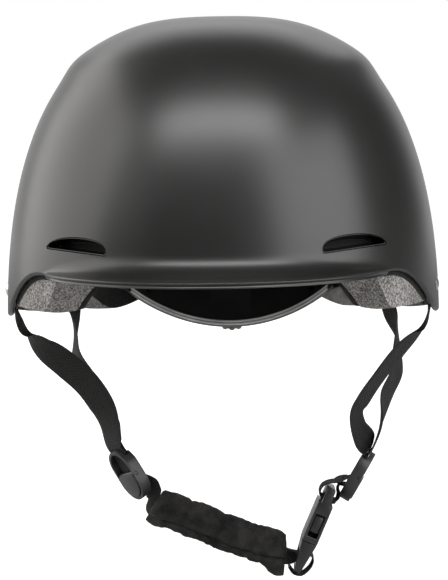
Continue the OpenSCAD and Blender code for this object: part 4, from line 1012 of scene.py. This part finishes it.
# Hard pieces whose CAD shape is right get rounded edges and their own materials
for node in ("left_divider_tray", "right_divider_tray"):
    dressed(node, TRAY, 0.3)
for node in ("left_divider_cam", "right_divider_cam"):
    dressed(node, CAM, 0.3)
for node in ("buckle_socket", "buckle_plug", "front_prong", "back_prong"):
    dressed(node, SATIN, 0.4, segments=3)
for node in ("cradle_plate", "left_belt", "right_belt", "dial_cover", "dial_knob"):
    dressed(node, MOULDED, 0.3)
for node in ("hanger_plug", "belt_guides", "click_ring", "dial_pinion"):
    dressed(node, LIGHT_MOULDED, 0.15)
for node in ("strap_rivets", "rivet_washers", "click_spring", "knob_screw"):
    dressed(node, STEEL, 0.12)


# Two rolled beads along the cradle's lower edge, coloured pale grey on the black cradle: painted
# highlights along that edge. The face is the cradle's outer radius, and the arc and drop are that
# edge's.
CRADLE_TILT = math.radians(22)
CRADLE_FACE, CRADLE_ARC, CRADLE_DROP = 69.4, 122.06, 14.7
CRADLE_FRAME = frame_at((0, 29, 20.5), (0, math.sin(CRADLE_TILT), math.cos(CRADLE_TILT)), (0, 1, 0))


def make_bead(name, inset, radius=0.7, span=53, steps=120, sides=12):
    """A round bead, a given distance in from the cradle's lower edge."""
    x = np.linspace(-span, span, steps)
    z = CRADLE_ARC - CRADLE_DROP - np.sqrt((CRADLE_ARC - inset) ** 2 - x ** 2)
    route = in_frame(CRADLE_FRAME, np.column_stack([x, np.sqrt((CRADLE_FACE + 0.1) ** 2 - x ** 2), z]))
    travel = along(route)
    up = CRADLE_FRAME[:3, 2]
    w = unit(up - travel * (travel @ up)[:, None])
    h = np.cross(travel, w)
    angles = np.arange(sides) * 2 * math.pi / sides
    rings = [[c + (a * math.cos(q) + b * math.sin(q)) * radius for q in angles]
             for c, a, b in zip(route, w, h)]
    obj = sharpen(outward(new_object(name, loft(name, rings), PAINTED_HIGHLIGHT_BEAD)), 60)
    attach(obj, ROOT)


make_bead("cradle_lower_bead", 0.75)
make_bead("cradle_upper_bead", 2.3)


# Camera, worked out from the photograph
CAMERA_AZIMUTH, CAMERA_ELEVATION, CAMERA_ROLL = 2.2, 5.0, 0.9
CAMERA_DISTANCE, CAMERA_TARGET = 1.2, (0, 0, 0.008)
PHOTO_HEIGHT, FOCAL_PIXELS, SENSOR = 580, 2362, 36.0


def make_camera():
    a, e, r = (math.radians(v) for v in (CAMERA_AZIMUTH, CAMERA_ELEVATION, CAMERA_ROLL))
    back = Vector((math.sin(a) * math.cos(e), -math.cos(a) * math.cos(e), math.sin(e)))
    right0 = Vector((0, 0, 1)).cross(back).normalized()
    up0 = back.cross(right0)
    right = right0 * math.cos(r) - up0 * math.sin(r)
    up = up0 * math.cos(r) + right0 * math.sin(r)
    data = bpy.data.cameras.new("camera")
    data.sensor_fit = "AUTO"
    data.sensor_width = SENSOR
    data.lens = FOCAL_PIXELS / PHOTO_HEIGHT * SENSOR
    data.clip_start, data.clip_end = 0.05, 30
    cam = bpy.data.objects.new("camera", data)
    bpy.context.scene.collection.objects.link(cam)
    place = Vector(CAMERA_TARGET) + back * CAMERA_DISTANCE
    cam.matrix_world = Matrix([(right[i], up[i], back[i], place[i]) for i in range(3)] + [(0, 0, 0, 1)])
    bpy.context.scene.camera = cam


def softbox(name, target, azimuth, elevation, distance, size, power, color=(1, 1, 1)):
    """A rectangular lamp that looks at a target, placed by its bearing from the front and its rise."""
    a, e = math.radians(azimuth), math.radians(elevation)
    way = Vector((math.sin(a) * math.cos(e), -math.cos(a) * math.cos(e), math.sin(e)))
    data = bpy.data.lights.new(name, "AREA")
    data.shape = "RECTANGLE"
    data.size, data.size_y = size
    data.energy = power
    data.color = color
    obj = bpy.data.objects.new(name, data)
    bpy.context.scene.collection.objects.link(obj)
    obj.location = Vector(target) + way * distance
    obj.rotation_mode = "QUATERNION"
    obj.rotation_quaternion = (-way).to_track_quat("-Z", "Y")


# The world's strength for all other rays, and the y part of a direction where the wall begins and is
# fully white
WORLD_LEVEL = 0.12
WALL_EDGE, WALL_FULL = 0.75, 0.95
# The floor's height and its glow under the helmet, and in metres where that glow rises to white and
# where the floor starts to show in gloss
FLOOR_Z, FLOOR_NEAR = -0.165, 0.8
FLOOR_FADE, FLOOR_BEHIND = (0.35, 1.3), (1.5, 4.0)


def sees_backdrop(tree):
    """Two sockets that are 1 for rays that show the white background.

    The first is for the camera's own rays alone, the second also for those off gloss or through glass.
    """
    path = tree.nodes.new("ShaderNodeLightPath")
    value = path.outputs["Is Camera Ray"]
    for name in ("Is Glossy Ray", "Is Transmission Ray"):
        larger = tree.nodes.new("ShaderNodeMath")
        larger.operation = "MAXIMUM"
        tree.links.new(value, larger.inputs[0])
        tree.links.new(path.outputs[name], larger.inputs[1])
        value = larger.outputs[0]
    return path.outputs["Is Camera Ray"], value


def make_world():
    """A dim studio whose wall is white to the camera, and to gloss where it stands behind the helmet."""
    world = bpy.data.worlds.new("studio")
    bpy.context.scene.world = world
    world.use_nodes = True
    tree = world.node_tree
    camera, shown = sees_backdrop(tree)
    at = tree.nodes.new("ShaderNodeTexCoord")
    parts = tree.nodes.new("ShaderNodeSeparateXYZ")
    tree.links.new(at.outputs["Generated"], parts.inputs[0])
    behind = tree.nodes.new("ShaderNodeMapRange")
    behind.interpolation_type = "SMOOTHSTEP"
    behind.inputs["From Min"].default_value = WALL_EDGE
    behind.inputs["From Max"].default_value = WALL_FULL
    tree.links.new(parts.outputs["Y"], behind.inputs["Value"])
    wall = tree.nodes.new("ShaderNodeMath")
    wall.operation = "MULTIPLY"
    tree.links.new(behind.outputs["Result"], wall.inputs[0])
    tree.links.new(shown, wall.inputs[1])
    white = tree.nodes.new("ShaderNodeMath")
    white.operation = "MAXIMUM"
    tree.links.new(wall.outputs[0], white.inputs[0])
    tree.links.new(camera, white.inputs[1])
    strength = tree.nodes.new("ShaderNodeMapRange")
    strength.inputs["To Min"].default_value = WORLD_LEVEL
    strength.inputs["To Max"].default_value = 1.0
    tree.links.new(white.outputs[0], strength.inputs["Value"])
    background = tree.nodes["Background"]
    tree.links.new(strength.outputs["Result"], background.inputs["Strength"])
    background.inputs["Color"].default_value = (1, 1, 1, 1)


def make_floor():
    """A white floor with a soft shadow near the helmet, as white as the background further off."""
    size = 12.0
    corners = [(-size, -size), (size, -size), (size, size), (-size, size)]
    mesh = bpy.data.meshes.new("floor")
    mesh.from_pydata([(x, y, FLOOR_Z) for x, y in corners], [], [(0, 1, 2, 3)])
    m = Nodes("floor_white")
    tree = m.tree
    at = m.add("TexCoord").outputs["Object"]
    far = m.add("VectorMath", {0: at}, operation="LENGTH").outputs["Value"]
    fade = m.add("MapRange", {"Value": far, "From Min": FLOOR_FADE[0], "From Max": FLOOR_FADE[1]},
                 interpolation_type="SMOOTHSTEP")
    m.surface(Base_Color=m.ramp(m.noise(at, 3), [(0.3, gray(0.44)), (0.7, gray(0.46))]), Roughness=0.9)
    glow = tree.nodes.new("ShaderNodeEmission")
    m.put(m.spread(fade.outputs["Result"], FLOOR_NEAR, 1.0), glow.inputs["Strength"])
    add = tree.nodes.new("ShaderNodeAddShader")
    pick = tree.nodes.new("ShaderNodeMixShader")
    tree.links.new(m.bsdf.outputs[0], add.inputs[0])
    tree.links.new(glow.outputs[0], add.inputs[1])
    camera, shown = sees_backdrop(tree)
    y = m.add("SeparateXYZ", {0: at}).outputs["Y"]
    behind = m.add("MapRange", {"Value": y, "From Min": FLOOR_BEHIND[0], "From Max": FLOOR_BEHIND[1]},
                   interpolation_type="SMOOTHSTEP")
    glossy = m.math("MULTIPLY", shown, behind.outputs["Result"])
    tree.links.new(m.math("MAXIMUM", camera, glossy), pick.inputs[0])
    tree.links.new(m.bsdf.outputs[0], pick.inputs[1])
    tree.links.new(add.outputs[0], pick.inputs[2])
    tree.links.new(pick.outputs[0], tree.nodes["Material Output"].inputs["Surface"])
    new_object("floor", mesh, m.material)


make_camera()
make_world()
make_floor()
softbox("front_top", (0, -0.1, 0.08), 3, 56, 1.3, (1.2, 0.34), 14.5)
softbox("left_side", (0, 0, 0), -98, 26, 1.4, (2.1, 1.5), 27, (1, 0.985, 0.965))
softbox("left_fill", (0, 0, 0), -52, 34, 1.5, (1.0, 1.1), 3)
softbox("right_front", (0, 0, 0), 52, 21, 1.4, (1.45, 1.15), 21)
softbox("back_top", (0, 0, 0.1), 180, 42, 1.6, (1.8, 0.7), 6)

bpy.context.scene.view_settings.view_transform = "Standard"
